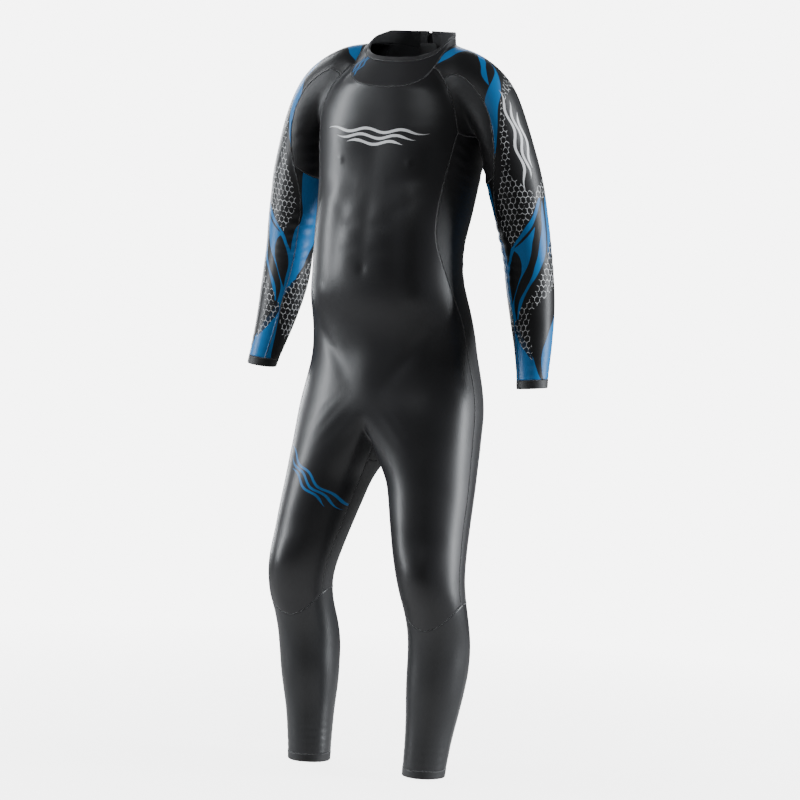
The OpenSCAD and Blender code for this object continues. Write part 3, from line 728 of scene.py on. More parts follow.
def collar_mark(s, x, y, z):
    """Small blue waves on the right front of the neck band."""
    round_it = x * 0.82 - y * 0.57
    up = z - round_it * 0.15
    mark = waves(s, up - COLLAR_MARK_Z, round_it + 0.022, 0.058, 3, 0.007, 0.0022, 0.02, 0.0016)
    front = (y * -300 - 3).clamped() * ((x + 0.002) * -800).clamped()
    return ((mark * front, BLUE),)


def lined_neoprene(name, colour=(0.015, 0.015, 0.0175), rough=0.46, deep=0.12 * MM):
    """Neoprene faced with knit jersey."""
    s = Shade(name)
    loops = knit(s)
    cloud = s.noise(14, 3)
    dark = tuple(c * 0.55 for c in colour)
    tint = s.mix_colour((loops + cloud * 0.7).clamped(), dark, colour)
    return s.finish(tint, cloud * 0.12 + rough, s.bump(loops, deep, 0.8),
                    Sheen_Weight=0.08, Sheen_Roughness=0.35)


def lower_leg_neoprene():
    """Matte neoprene with a fine pebbled face."""
    s = Shade("lower_leg_neoprene")
    spot = s.spot()
    pebble = s.value("TexVoronoi", {"feature": "SMOOTH_F1"}, {"Vector": spot, "Scale": 900})
    cloud = s.noise(9, 3, spot)
    tint = s.mix_colour(cloud, (0.010, 0.0105, 0.012), (0.020, 0.021, 0.0235))
    return s.finish(tint, cloud * 0.10 + pebble * 0.05 + 0.30,
                    s.bump(pebble + s.noise(60, 3, spot) * 2.2, 0.2 * MM, 0.5),
                    Coat_Weight=0.08, Coat_Roughness=0.3)


def binding_cloth():
    """Smooth stretch binding: fine cross ribs."""
    s = Shade("edge_binding")
    x, y, z, spot = s.place()
    rib = abs((z + (x + y) * 0.3) / (0.7 * MM) % 1 - 0.5)
    return s.finish(s.mix_colour(rib, (0.010, 0.010, 0.011), (0.02, 0.02, 0.022)),
                    s.noise(90, 2, spot) * 0.15 + 0.5, s.bump(rib, 0.12 * MM, 0.7),
                    Sheen_Weight=0.12)


# ---------------------------------------------------------------- the sleeve's print
# Each shape is a list of (ring, from, to): how far along the sleeve, and the turns in degrees
# from its outer line. Forward is positive. Inner shapes count the same way past 180.
BLUE_SHAPES = (
    ((0, 24, 36), (0.35, 4, 34), (0.6, -14, 32), (1.0, -13, 22), (1.8, -12, 5), (2.4, 0, 18),
     (2.8, 12, 30), (3.2, 28, 44), (3.9, 45, 46)),
    ((2.8, 0, 1), (3.5, 8, 12), (3.9, 14, 34), (4.1, 18, 68), (4.4, 24, 75), (4.8, 34, 80),
     (5.2, 52, 84), (6.0, 68, 86), (6.6, 80, 92), (7.3, 100, 101)),
    ((9.5, 9, 10), (9.8, 14, 22), (10.5, 31, 41), (11.0, 46, 62), (11.3, 60, 74),
     (11.6, 76, 87), (12.0, 96, 104), (12.4, 108, 112), (13.0, 118, 126)),
    ((11.0, 38, 39), (11.5, 45, 62), (11.8, 50, 80), (12.1, 53, 102), (12.5, 58, 112),
     (13.0, 67, 126), (13.4, 78, 145), (13.8, 89, 148), (14.4, 102, 146), (15.0, 112, 140),
     (15.6, 112, 124), (16.0, 110, 124), (16.6, 98, 127), (17.0, 84, 129), (17.6, 68, 133),
     (18.5, 47, 140), (19.4, 18, 150), (20, 2, 152)),
    ((9.8, 8, 9), (10.5, 7, 17), (11.0, 8, 20), (11.8, 12, 32), (12.5, 20, 41), (13.0, 32, 50),
     (13.5, 45, 58), (14.2, 68, 76), (15.0, 88, 98), (15.8, 104, 108)),
    ((9.0, -62, -60), (9.5, -56, -12), (10.0, -50, -1), (10.6, -44, 1), (11.2, -38, 3),
     (11.8, -26, 6), (12.4, -8, 10), (12.8, 8, 9)),
    ((15.4, -48, -46), (16.0, -52, -2), (16.8, -54, 20), (17.8, -50, 36), (18.4, -44, 31),
     (19.2, -36, 14), (20, -30, -4)))
BLACK_SHAPES = (
    ((12.1, 95, 96), (12.6, 82, 108), (13.2, 82, 118), (13.8, 92, 122), (14.4, 104, 120),
     (15.0, 119, 120)),)
INNER_BLUE = ((8, 130, 230), (8.3, 129, 231), (9.5, 131, 229), (11, 139, 221), (11.6, 128, 226),
              (12.2, 124, 200), (13.0, 122, 172), (13.6, 118, 162), (14.2, 116, 148),
              (14.8, 116, 132), (15.4, 120, 124))
HEX_SHAPES = (
    ((2.4, -46, -8), (3.0, -54, -5), (3.6, -55, -3), (4.2, -48, 8), (4.6, -24, 26),
     (4.9, 8, 34), (5.2, 34, 36)),
    ((5.0, 39, 41), (6.0, 47, 62), (6.6, 51, 71), (7.2, 57, 76), (7.8, 63, 84), (8.4, 66, 95),
     (8.8, 56, 103), (9.2, 42, 110), (9.6, 26, 116), (9.9, 26, 121), (10.4, 42, 122),
     (10.9, 60, 119), (11.4, 80, 110), (11.9, 98, 99)),
    ((6.6, -33, -32), (7.2, -38, -24), (8.0, -40, -18), (8.8, -36, -8), (9.3, -28, 20),
     (9.7, 2, 26)),
    ((10.8, -70, -46), (12.0, -62, 2), (12.6, -52, 14), (13.2, -42, 30), (13.8, -24, 44),
     (14.4, 8, 58), (14.9, 38, 74), (15.4, 62, 98), (16.0, 74, 104), (16.6, 72, 88), (17.0, 74, 75)),
    ((15.8, 104, 106), (16.2, 90, 122), (16.8, 76, 112), (17.4, 66, 92), (17.9, 66, 67)))
INNER_HEX = ((12.6, 204, 236), (13.2, 190, 238), (13.8, 166, 240), (14.3, 150, 240),
             (14.8, 134, 240), (15.2, 126, 240), (16.5, 129, 232), (17.2, 140, 215), (17.8, 176, 178))


SIDE_SHARP, END_SHARP = 500, 700  # how fast a printed shape fades at its sides and its ends


def shape(s, turn, ring, edges, offset):
    """1 inside a printed shape. Its two edges are smooth curves along the sleeve."""
    low, high = (s.value("FloatCurve", {"curve": [(r / LAST_RING, row[k] / 360 + offset)
                                                  for r, *row in edges]},
                         {"Factor": 1.0, "Value": ring}) for k in (0, 1))
    first, last = edges[0][0] / LAST_RING, edges[-1][0] / LAST_RING
    ends = ((ring - first) * END_SHARP).clamped() * ((last - ring) * END_SHARP).clamped()
    return (((turn + offset - low) * SIDE_SHARP).clamped()
            * ((high - turn - offset) * SIDE_SHARP).clamped() * ends)


def hexagons(across, along, size, line):
    """1 on the lines of a honeycomb whose cells are size wide."""
    tall = math.sqrt(3)
    px, py = across / size, along / (size * 1.22)
    best = None
    for shift in (0.0, 0.5):
        gx, gy = (px + shift) % 1 - 0.5, (py + shift * tall) % tall - tall / 2
        reach = abs(gx).most(abs(gx) * 0.5 + abs(gy) * (tall / 2))
        best = reach if best is None else best.least(reach)
    return ((best - (0.5 - line)) * 30).clamped()


def printed_jersey():
    """Stretch jersey with the blue shapes, the honeycomb and a row of waves."""
    s = Shade("printed_jersey")
    turn, ring = s.print_layer("turn")
    across, along = s.print_layer("cut")
    wrapped = turn % 1
    drift = (s.noise(150, 3) - 0.5) * 0.02

    def joined(shapes, value, offset):
        masks = [shape(s, value, ring, edges, offset) for edges in shapes]
        total = masks[0]
        for mask in masks[1:]:
            total = total.most(mask)
        return total
    blue = joined(BLUE_SHAPES, turn, 0.5).most(joined((INNER_BLUE,), wrapped, 0.0))
    blue = blue * (1 - joined(BLACK_SHAPES, turn, 0.5))
    mesh = joined(HEX_SHAPES, turn + drift, 0.5).most(joined((INNER_HEX,), wrapped + drift, 0.0))
    lines = hexagons(across, along, 10.0 * MM, 0.056) * mesh
    worn = ((s.noise(240, 2) - 0.42) * 14).clamped()
    mark = waves(s, along - ARM_MARK[1], across - ARM_MARK[0], 0.20, 3, 0.012, 0.0042, 0.07, 0.0029)
    loops = knit(s)
    colour = s.mix_colour(blue, BLACK, BLUE)
    colour = s.mix_colour(mesh * 0.9, colour, (0.006, 0.006, 0.007))
    colour = s.mix_colour((lines * worn).most(mark), colour, WHITE)
    cloud = s.noise(16, 2)
    return s.finish(colour, cloud * 0.10 + 0.38 + loops * 0.05,
                    s.bump(loops * 0.5 + (lines + mark) * 0.8, 0.12 * MM, 0.6),
                    Specular_IOR_Level=0.4)


# ---------------------------------------------------------------- small moulded and sewn parts
def zip_place(x, v, w):
    """From along the zip (right, out of the back, up the zip, in mm) to the suit's place."""
    c, s = math.cos(ZIP_LEAN), math.sin(ZIP_LEAN)
    return (Vector((x, ZIP_Y + v * c + w * s, round(ZIP_Z, 2) - v * s + w * c)) * MM
            + Vector((0, 0, HEM)))


def neck_back_y(x, z):
    """Where the back of the neck band is, in mm, between an oval low down and one at the rim."""
    def oval(wide, deep):
        return deep * (1 - (abs(x) / wide) ** (2 / ROUNDNESS)) ** (ROUNDNESS / 2)
    low, rim = oval(86, 91.3), 14 + oval(80, 74.5)
    return 0.6 + mix(low, rim, (z - 1400) / 30)


def neck_place(x, off, z):
    return Vector((x, neck_back_y(x, z) + off, z)) * MM + Vector((0, 0, HEM))


def slab(x0, x1, w0, w1, low, high, soft=0.3, corner=0.0, step=6.0, crown=0.0):
    """A flat piece with rounded edges and corners, as points (across, out, along) and faces."""
    def stations(a, b):
        edge = [0, soft * 0.3, soft] + ([corner * 0.55, corner] if corner > soft else [])
        inner = max(2, round((b - a - 2 * edge[-1]) / step))
        middle = [a + edge[-1] + (b - a - 2 * edge[-1]) * i / inner for i in range(1, inner)]
        return [a + e for e in edge] + middle + [b - e for e in reversed(edge)]
    xs, ws = stations(x0, x1), stations(w0, w1)
    top, bottom = [], []
    for x in xs:
        for w in ws:
            px, pw = x, w
            ax, aw = min(x - x0, x1 - x), min(w - w0, w1 - w)
            drop = soft - math.sqrt(max(0.0, soft ** 2 - max(0.0, soft - min(ax, aw)) ** 2))
            rise = crown * (1 - ((2 * x - x0 - x1) / (x1 - x0)) ** 2)
            if corner and ax < corner and aw < corner:
                a, b = corner - ax, corner - aw
                fit = max(a, b) / math.hypot(a, b)
                px += (a - a * fit) * (1 if x - x0 < x1 - x else -1)
                pw += (b - b * fit) * (1 if w - w0 < w1 - w else -1)
            top.append((px, high - drop + rise, pw))
            bottom.append((px, low + drop, pw))
    count, wide = len(top), len(ws)
    faces = []
    for i in range(len(xs) - 1):
        for j in range(wide - 1):
            a = i * wide + j
            faces.append((a, a + 1, a + 1 + wide, a + wide))
            faces.append(tuple(k + count for k in (a, a + wide, a + 1 + wide, a + 1)))
    border = ([i * wide for i in range(len(xs))]
              + [(len(xs) - 1) * wide + j for j in range(1, wide)]
              + [i * wide + wide - 1 for i in range(len(xs) - 2, -1, -1)]
              + list(range(wide - 2, 0, -1)))
    for a, b in zip(border, border[1:] + border[:1]):
        faces.append((a, b, b + count, a + count))
    return top + bottom, faces


def ringed(rings, closed=False):
    """A solid through rings of equally many points: capped, or joined end to end."""
    count = len(rings[0])
    faces = []
    for r in range(len(rings) if closed else len(rings) - 1):
        here, above = r * count, (r + 1) % len(rings) * count
        for i in range(count):
            after = (i + 1) % count
            faces.append((here + i, here + after, above + after, above + i))
    if not closed:
        faces += [tuple(range(count)), tuple(range((len(rings) - 1) * count, len(rings) * count))]
    return [p for ring in rings for p in ring], faces


def rod(x0, x1, v, w, radius, soft=0.3, bore=None):
    """A round bar across the zip, or a tube where it has a bore."""
    def ring(x, r):
        return [(x, v + r * sin(a), w + r * cos(a)) for a in range(0, 360, 15)]
    rings = [ring(x0, radius - soft), ring(x0 + soft, radius), ring(x1 - soft, radius),
             ring(x1, radius - soft)]
    if bore:
        rings += [ring(x1, bore), ring(x0, bore)]
    return ringed(rings, closed=bool(bore))


def finger_tab():
    """The zip's pull tab, with a hub round the pin, a waist and an eye for the cord."""
    v, w0, length, half = 4.4, 379.5, 36, 0.8

    def half_width(t):
        return mix(2.7, 6.0, min(1, max(0, (t - 4) / 8)) ** 1.5)
    side = [(half_width(t), -t) for t in (1.9, 4, 6, 8, 10, 12, 15, 20, 25, 30)]
    tip = [(6 * cos(a), -length - 6 * sin(a)) for a in range(0, 181, 12)]
    outline = side + tip + [(-x, t) for x, t in reversed(side)]

    def ring(inset, height):
        return [(x * (1 - inset / 6), v + height, w0 + t + (inset if t > -20 else -inset) * -0.6)
                for x, t in outline]

    def eye(radius, height):
        turns = [math.atan2(t + length, x) for x, t in outline]
        return [(radius * math.cos(a), v + height, w0 - length + radius * math.sin(a)) for a in turns]
    rings = [ring(0.5, -half), ring(0, -half + 0.4), ring(0, half - 0.4), ring(0.5, half),
             eye(3.6, half), eye(3.2, half + 0.35), eye(2.7, half + 0.1), eye(2.5, half - 0.3),
             eye(2.5, -half + 0.3), eye(2.9, -half)]
    ribs = [slab(-3.6, 3.6, w0 - t - 0.6, w0 - t + 0.6, low, high, soft, step=4)
            for low, high, soft in ((v + half - 0.1, v + half + 0.35, 0.3),
                                    (v - half - 0.25, v - half + 0.1, 0.25))
            for t in range(14, 30, 3)]
    return [ringed(rings, closed=True), rod(-2.9, 2.9, v, w0, 2.3, 0.4, bore=1.22)] + ribs


def slider_parts():
    """Two plates and the wedge between them, side flanges, the bail's arches and its pin."""
    middle, half, pin_v, pin_w = 382.5, 13, 4.4, 379.5
    parts = [slab(-7, 7, middle - half, middle + half, -0.3, 1.5, 0.6, 3.4, 2.5, crown=0.25),
             slab(-6.5, 6.5, middle - half, middle + half, -6.1, -4.7, 0.5, 3.2, 2.5),
             slab(-0.35, 0.35, middle - half + 2, middle + half - 2, -5.4, 0.4, 0.1, step=4)]
    for side in (-1, 1):
        parts.append(slab(side * 5.8 - 1.2, side * 5.8 + 1.2, middle - half + 3, middle + half - 3,
                          -2.9, 0.2, 0.4, step=4))
        arch = [(pin_w + 4.2 * cos(a), 0.9 + (pin_v + 0.9) * sin(a)) for a in range(0, 181, 15)]
        arch += [(pin_w + 2.0 * cos(a), 0.9) for a in range(180, -1, -15)]
        x0, x1 = side * 4 - 0.8, side * 4 + 0.8
        parts.append(ringed([[(x, v, w) for w, v in arch] for x in (x0, x0 + 0.2, x1 - 0.2, x1)]))
    parts.append(rod(-5.1, 5.1, pin_v, pin_w, 1.1, 0.3))
    return parts


def loop_strap():
    """The short strap inside the neck that the suit hangs from."""
    section = ((12, 388.3), (12, 395.7), (12.3, 396), (13.2, 396), (13.5, 395.7), (13.5, 388.3),
               (13.2, 388), (12.3, 388))
    return [ringed([[(r * cos(a), -9.6 + r * sin(a), w) for r, w in section]
                    for a in range(180, 361, 6)])]


def made(name, parts, place, body, material, slot, *nodes):
    """One finished piece from its closed parts."""
    work = bmesh.new()
    for points, faces in parts:
        corners = [work.verts.new(place(*p)) for p in points]
        for face in faces:
            work.faces.new([corners[i] for i in face])
    bmesh.ops.recalc_face_normals(work, faces=work.faces)
    mesh = bpy.data.meshes.new(name)
    work.to_mesh(mesh)
    work.free()
    mesh.set_sharp_from_angle(angle=math.radians(42))
    mesh.materials.append(material)
    piece = in_scene(name, mesh)
    if body == "bends":
        neck_place(44, 4, 1415)
        neck_place(37, 4, 1415)
        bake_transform(piece)
    else:
        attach(piece, body)
    if nodes:
        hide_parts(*nodes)
    return piece


# ---------------------------------------------------------------- teeth and stitches in rows
def row_tree():
    """Sets one item again and again along the edges of a mesh, standing up from its surface."""
    tree = bpy.data.node_groups.new("row", "GeometryNodeTree")
    for name, kind in (("Path", "Geometry"), ("Item", "Object"), ("Pitch", "Float"),
                       ("Material", "Material")):
        tree.interface.new_socket(name, in_out="INPUT", socket_type="NodeSocket" + kind)
    tree.interface.new_socket("Geometry", in_out="OUTPUT", socket_type="NodeSocketGeometry")

    def node(kind, settings=(), sockets=()):
        new = tree.nodes.new(kind)
        for key, value in dict(settings).items():
            setattr(new, key, value)
        for key, value in dict(sockets).items():
            if isinstance(value, bpy.types.NodeSocket):
                tree.links.new(value, new.inputs[key])
            else:
                new.inputs[key].default_value = value
        return new
    given = node("NodeGroupInput").outputs
    path = node("GeometryNodeMeshToCurve", sockets={"Mesh": given["Path"]})
    even = node("GeometryNodeResampleCurve", {"mode": "LENGTH"},
                {"Curve": path.outputs[0], "Length": given["Pitch"]})
    up = node("GeometryNodeInputNamedAttribute", {"data_type": "FLOAT_VECTOR"}, {"Name": "up"})
    first = node("FunctionNodeAlignRotationToVector", {"axis": "X"},
                 {"Vector": node("GeometryNodeInputTangent").outputs[0]})
    turned = node("FunctionNodeAlignRotationToVector", {"axis": "Z", "pivot_axis": "X"},
                  {"Rotation": first.outputs[0], "Vector": up.outputs[0]})
    item = node("GeometryNodeObjectInfo", sockets={"Object": given["Item"]})
    set_out = node("GeometryNodeInstanceOnPoints", sockets={
        "Points": even.outputs[0], "Instance": item.outputs["Geometry"], "Rotation": turned.outputs[0]})
    solid = node("GeometryNodeRealizeInstances", sockets={0: set_out.outputs[0]})
    coated = node("GeometryNodeSetMaterial", sockets={"Geometry": solid.outputs[0],
                                                      "Material": given["Material"]})
    node("NodeGroupOutput", sockets={0: coated.outputs[0]})
    return tree


def row_piece(tree, name, path, item, pitch, material, slot, *nodes):
    """A mesh of items along a path. The path is points, the way up at each, and edges."""
    points, ups, edges = path
    mesh = bpy.data.meshes.new(name)
    mesh.from_pydata(points, edges, [])
    mesh.attributes.new("up", "FLOAT_VECTOR", "POINT").data.foreach_set(
        "vector", np.array(ups, dtype=np.float32).ravel())
    piece = in_scene(name, mesh)
    rows = piece.modifiers.new("rows", "NODES")
    rows.node_group = tree
    sizes = {"Item": item, "Pitch": pitch, "Material": material}
    for socket in tree.interface.items_tree:
        if socket.in_out == "INPUT" and socket.name in sizes:
            rows[socket.identifier] = sizes[socket.name]
    piece.data = applied(piece)
    piece.modifiers.clear()
    piece.data.name = name
    piece.data.polygons.foreach_set("use_smooth", [True] * len(piece.data.polygons))
    if len(piece.data.materials) == 0:
        piece.data.materials.append(material)
    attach(piece, "suit")
    if nodes:
        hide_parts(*nodes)
    return piece


def item(name, parts):
    """A small thing to repeat, which is not itself part of the suit."""
    mesh = bpy.data.meshes.new(name)
    points, faces = [], []
    for p, f in parts:
        faces += [tuple(i + len(points) for i in face) for face in f]
        points += p
    mesh.from_pydata([Vector(p) * MM for p in points], [], faces)
    work = bmesh.new()
    work.from_mesh(mesh)
    bmesh.ops.recalc_face_normals(work, faces=work.faces)
    work.to_mesh(mesh)
    work.free()
    return bpy.data.objects.new(name, mesh)


def tooth_item():
    """Along the zip, across it, and out of it: a foot, a neck and a head."""
    outline = ((-1.0, 4.2), (-1.1, 3.2), (-0.75, 2.6), (-0.7, 2.0), (-1.15, 1.5), (-1.2, 0.9),
               (-0.8, 0.45), (0.8, 0.45), (1.2, 0.9), (1.15, 1.5), (0.7, 2.0), (0.75, 2.6),
               (1.1, 3.2), (1.0, 4.2))
    middle = sum(y for _, y in outline) / len(outline)
    rings = [[(x * fit, middle + (y - middle) * fit, height) for x, y in outline]
             for fit, height in ((0.9, -3.3), (1, -3.0), (1, -1.1), (0.86, -0.7))]
    return item("tooth", [ringed(rings)])


def stitch_item(length, thick):
    """One stitch across a seam: a short bowed thread."""
    rings = [[(0.12 * math.copysign(1, y) * 3 + thick * s * cos(a), y, rise + thick * s * sin(a))
              for a in range(0, 360, 72)]
             for y, s, rise in ((-length / 2, 0.4, -0.25), (-length / 4, 1, 0.15),
                                (length / 4, 1, 0.15), (length / 2, 0.4, -0.25))]
    return item("stitch", [ringed(rings)])


def zip_teeth(tree, material):
    tooth = tooth_item()
    up = zip_place(0, 1, 0) - zip_place(0, 0, 0)
    for side, first, pieces in (("left", 14.0, 1), ("right", 16.5, -1)):
        ends = [zip_place(0, 0, first), zip_place(0, 0, first + 375.05)][::pieces]
        row_piece(tree, "zip_teeth_" + side + "_row", (ends, [up / MM] * 2, [(0, 1)]), tooth,
                  5 * MM, material, "zip_plastic", "zip_teeth_" + side)


def stitching(tree, surface, material):
    """Seams in one mesh, and the finer rows that hold the zip in another."""
    points, normals, edges = surface.seam_lines()
    row_piece(tree, "seam_stitches", (points + normals * 0.05 * MM, normals, edges),
              stitch_item(2.8, 0.36), 2.6 * MM, material, "lined_neoprene")
    cloth = BVHTree.FromPolygons([Vector(p) for p in surface.points], surface.faces.tolist())
    points, ups, edges = [], [], []
    for offset in (9.5, 12.5):
        low, reach = -int(offset) - 6, int(offset * 2)
        path = ([(-offset, w) for w in range(396, low, -3)]
                + [(x * 0.5, low) for x in range(3 - reach, reach - 2, 3)]
                + [(offset, w) for w in range(low, 397, 3)])
        start = len(points)
        for x, w in path:
            spot = zip_place(x, 0, w)
            hit, normal, *_ = cloth.ray_cast(spot + Vector((0, 0.2, 0)), Vector((0, -1, 0)))
            if hit is not None:
                points.append(hit + normal * 0.05 * MM)
                ups.append(normal)
        edges += [(i, i + 1) for i in range(start, len(points) - 1)]
    row_piece(tree, "zip_stitches", (points, ups, edges), along_stitch_item(), 3.4 * MM, material,
              "lined_neoprene")


def along_stitch_item():
    """One stitch along its row."""
    rings = [[(x, 0.24 * s * cos(a), rise + 0.24 * s * sin(a)) for a in range(0, 360, 72)]
             for x, s, rise in ((-1.25, 0.4, -0.2), (-0.7, 1, 0.12), (0.7, 1, 0.12), (1.25, 0.4, -0.2))]
    return item("run_stitch", [ringed(rings)])


def small_parts(tree, surface):
    """Everything but the sewn panels."""
    tape, plastic = woven_tape(), moulded_plastic("zip_plastic", (0.022, 0.022, 0.024), 0.30)
    backing = lined_neoprene("tab_neoprene", (0.014, 0.014, 0.016), 0.6)
    for side, x0, x1 in (("left", 1.2, 22), ("right", -22, -1.2)):
        inner = (1.3, 3.0) if side == "left" else (-3.0, -1.3)
        made("zip_tape_" + side + "_web",
             [slab(x0, x1, -6, 398, -4.3, -3.3, 0.25, 1.5, 8),
              slab(*inner, -2, 397, -4.7, -3.0, 0.5, step=8)],
             zip_place, "suit", tape, "zip_tape", "zip_tape_" + side)
    made("zip_top_stop_pair", [slab(x0, x0 + 3.8, 396, 399, -3.3, -0.2, 0.6, 0.8, 1.5)
                               for x0 in (-4.6, 0.8)],
         zip_place, "suit", plastic, "zip_plastic", "zip_top_stops")
    made("zip_bottom_box", [slab(-4.6, 4.6, 8.5, 11.5, -3.3, -0.2, 0.6, 0.9, 1.5)],
         zip_place, "suit", plastic, "zip_plastic", "zip_bottom_stop")
    made("zip_base_cover", [slab(-8.4, 8.4, 0.4, 8, -3.2, 0.4, 0.8, 2.2, 2)],
         zip_place, "suit", backing, "tab_neoprene", "zip_base_patch")
    made("zip_guard", [slab(-35, 35, -4, 402, -9.6, -7.1, 1.0, 12, 9),
                       slab(-20, 20, 392, 421, -9.5, -7.2, 1.0, 8, 7)],
         zip_place, "suit", backing, "tab_neoprene", "zip_guard_flap")
    made("inside_label", [slab(-22, 22, 345, 378, -9.9, -9.58, 0.12, 1, 5)],
         zip_place, "suit", label_cloth(), "label_cloth", "size_label")
    made("hang_loop_strap", loop_strap(), zip_place, "suit", tape, "zip_tape", "hang_loop")
    metal = painted_metal()
    made("slider_body", slider_parts(), zip_place, "slider", metal, "slider_metal", "zip_slider")
    made("finger_tab", finger_tab(), zip_place, "pull", moulded_plastic(
        "pull_plastic", BLUE, 0.38), "pull_plastic", "pull_tab")
    made("neck_tab_strap", [slab(-50, 60.8, 1403, 1427, 3, 5, 0.9, 7, 2)],
         neck_place, "bends", backing, "tab_neoprene", "neck_tab")
    made("neck_tab_root", [slab(44.8, 60.8, 1403.4, 1426.6, 0.8, 3.0, 0.6, 2, 3)],
         neck_place, "suit", backing, "tab_neoprene", "neck_tab_base")
    made("neck_hooks", [slab(-45, -20, 1406, 1424, 2, 3, 0.3, 2, 3)],
         neck_place, "tab", hook_pile("hooks", (0.03, 0.03, 0.032), 1300), "hook_and_loop", "hook_patch")
    made("neck_loops", [slab(-50, -15, 1404, 1426, 0.8, 1.6, 0.3, 2.5, 3)],
         neck_place, "suit", hook_pile("loops", (0.02, 0.02, 0.022), 700), "hook_and_loop", "loop_patch")
    zip_teeth(tree, plastic)
    stitching(tree, surface, stitch_thread())


# ---------------------------------------------------------------- finishes of the small parts
def woven_tape():
    """Twill tape: slanting ribs in two directions."""
    s = Shade("zip_tape")
    x, _, z, spot = s.place()
    twill = abs(((abs(x) + z) / (1.1 * MM)) % 1 - 0.5)
    return s.finish(s.mix_colour(twill, (0.008, 0.008, 0.009), (0.024, 0.024, 0.026)),
                    s.noise(200, 2, spot) * 0.15 + 0.62, s.bump(twill, 0.15 * MM, 0.9),
                    Sheen_Weight=0.2)


def moulded_plastic(name, colour, rough):
    """Moulded plastic with a fine grain and slightly rubbed high spots."""
    s = Shade(name)
    spot = s.spot()
    cloud, grain = s.noise(160, 3, spot), s.noise(2600, 2, spot)
    light = tuple(min(1, c * 1.35 + 0.006) for c in colour)
    return s.finish(s.mix_colour(cloud, tuple(c * 0.8 for c in colour), light),
                    cloud * 0.14 + grain * 0.06 + rough, s.bump(grain, 0.04 * MM, 0.5),
                    Coat_Weight=0.1, Coat_Roughness=0.2)


def painted_metal():
    """Gunmetal paint over cast zinc, worn through on its edges."""
    s = Shade("slider_metal")
    spot = s.spot()
    edge = s.value("NewGeometry", output="Pointiness")
    scratch = s.noise(900, 4, spot)
    worn = ((edge - 0.52) * 14 + (scratch - 0.62) * 3).clamped()
    colour = s.mix_colour(worn, (0.045, 0.046, 0.05), (0.42, 0.42, 0.43))
    return s.finish(colour, scratch * 0.16 + 0.24, s.bump(scratch, 0.03 * MM, 0.4),
                    Metallic=worn * 0.35 + 0.6)


def hook_pile(name, colour, scale):
    """Hook or loop tape: a dense field of tiny tufts."""
    s = Shade(name)
    spot = s.spot()
    tuft = s.value("TexVoronoi", {"feature": "F1"}, {"Vector": spot, "Scale": scale})
    return s.finish(s.mix_colour(tuft, colour, tuple(c * 0.3 for c in colour)), tuft * 0.1 + 0.82,
                    s.bump(1 - tuft, 0.5 * MM, 1.0), Sheen_Weight=0.5, Sheen_Roughness=0.5)


def label_cloth():
    """A dark woven label with plain stripes and no words."""
    s = Shade("label_cloth")
    x, _, z, _ = s.place()
    weave = abs((x / (0.5 * MM)) % 1 - 0.5) + abs((z / (0.5 * MM)) % 1 - 0.5)
    stripe = ((abs((z / (8 * MM)) % 1 - 0.5) * -40) + 3).clamped() * ((0.016 - abs(x)) * 4000).clamped()
    colour = s.mix_colour(stripe, (0.014, 0.014, 0.015), (0.16, 0.165, 0.17))
    return s.finish(colour, weave * 0.1 + 0.68, s.bump(weave, 0.08 * MM, 0.8), Sheen_Weight=0.1)


def stitch_thread():
    """Pale grey twisted thread."""
    s = Shade("thread")
    x, y, z, spot = s.place()
    ply = abs(((x + y + z) / (0.45 * MM)) % 1 - 0.5)
    return s.finish(s.mix_colour(ply, (0.22, 0.222, 0.226), (0.44, 0.443, 0.45)),
                    s.noise(300, 2, spot) * 0.1 + 0.5, s.bump(ply, 0.08 * MM, 0.8),
                    Sheen_Weight=0.1)


# ---------------------------------------------------------------- putting the suit together
SIDES = ("left_", "right_")
FINISHES = {"front_panel": "smooth_neoprene", "seat_panel": "smooth_neoprene",
            "upper_back": "smooth_neoprene", "neck_band": "neck_neoprene",
            "side_panel": "lined_neoprene", "underarm": "lined_neoprene",
            "thigh_back": "lined_neoprene", "crotch_gusset": "lined_neoprene",
            "lower_leg": "lower_leg_neoprene", "sleeve": "printed_jersey",
            "forearm": "printed_jersey", "cuff_hem": "edge_binding", "ankle_hem": "edge_binding",
            "neck_binding": "edge_binding"}
PANELS = [name for base in FINISHES for name in
          ([base] if base in SHARED else [side + base for side in SIDES])]


def base_name(panel):
    return panel.removeprefix("left_").removeprefix("right_")


def make_materials():
    return {
        "smooth_neoprene": smooth_skin("smooth_neoprene", chest_and_thigh_marks),
        "neck_neoprene": smooth_skin("neck_neoprene", collar_mark, dull=0.10),
        "lined_neoprene": lined_neoprene("lined_neoprene"),
        "lower_leg_neoprene": lower_leg_neoprene(),
        "printed_jersey": printed_jersey(),
        "edge_binding": binding_cloth(),
        "lining": lined_neoprene("lining", (0.030, 0.031, 0.034), 0.72, 0.2 * MM),
    }


# Flat width, length and area of each cut piece of cloth, and the piece that it is sewn to
CUTS = {
    "front_panel": (0.50, 1.13, 0.390, "neck_band"), "seat_panel": (0.50, 0.40, 0.145, "front_panel"),
    "upper_back": (0.17, 0.42, 0.059, "neck_band"), "neck_band": (0.064, 0.40, 0.018, "front_panel"),
    "side_panel": (0.10, 0.90, 0.053, "front_panel"), "underarm": (0.17, 0.25, 0.031, "sleeve"),
    "thigh_back": (0.27, 0.32, 0.072, "seat_panel"), "crotch_gusset": (0.06, 0.15, 0.0069, "seat_panel"),
    "lower_leg": (0.36, 0.36, 0.107, "front_panel"), "sleeve": (0.26, 0.66, 0.121, "upper_back"),
    "forearm": (0.11, 0.39, 0.030, "sleeve"), "cuff_hem": (0.020, 0.19, 0.0034, "sleeve"),
    "ankle_hem": (0.018, 0.27, 0.0047, "lower_leg"), "neck_binding": (0.016, 0.46, 0.0057, "neck_band"),
}


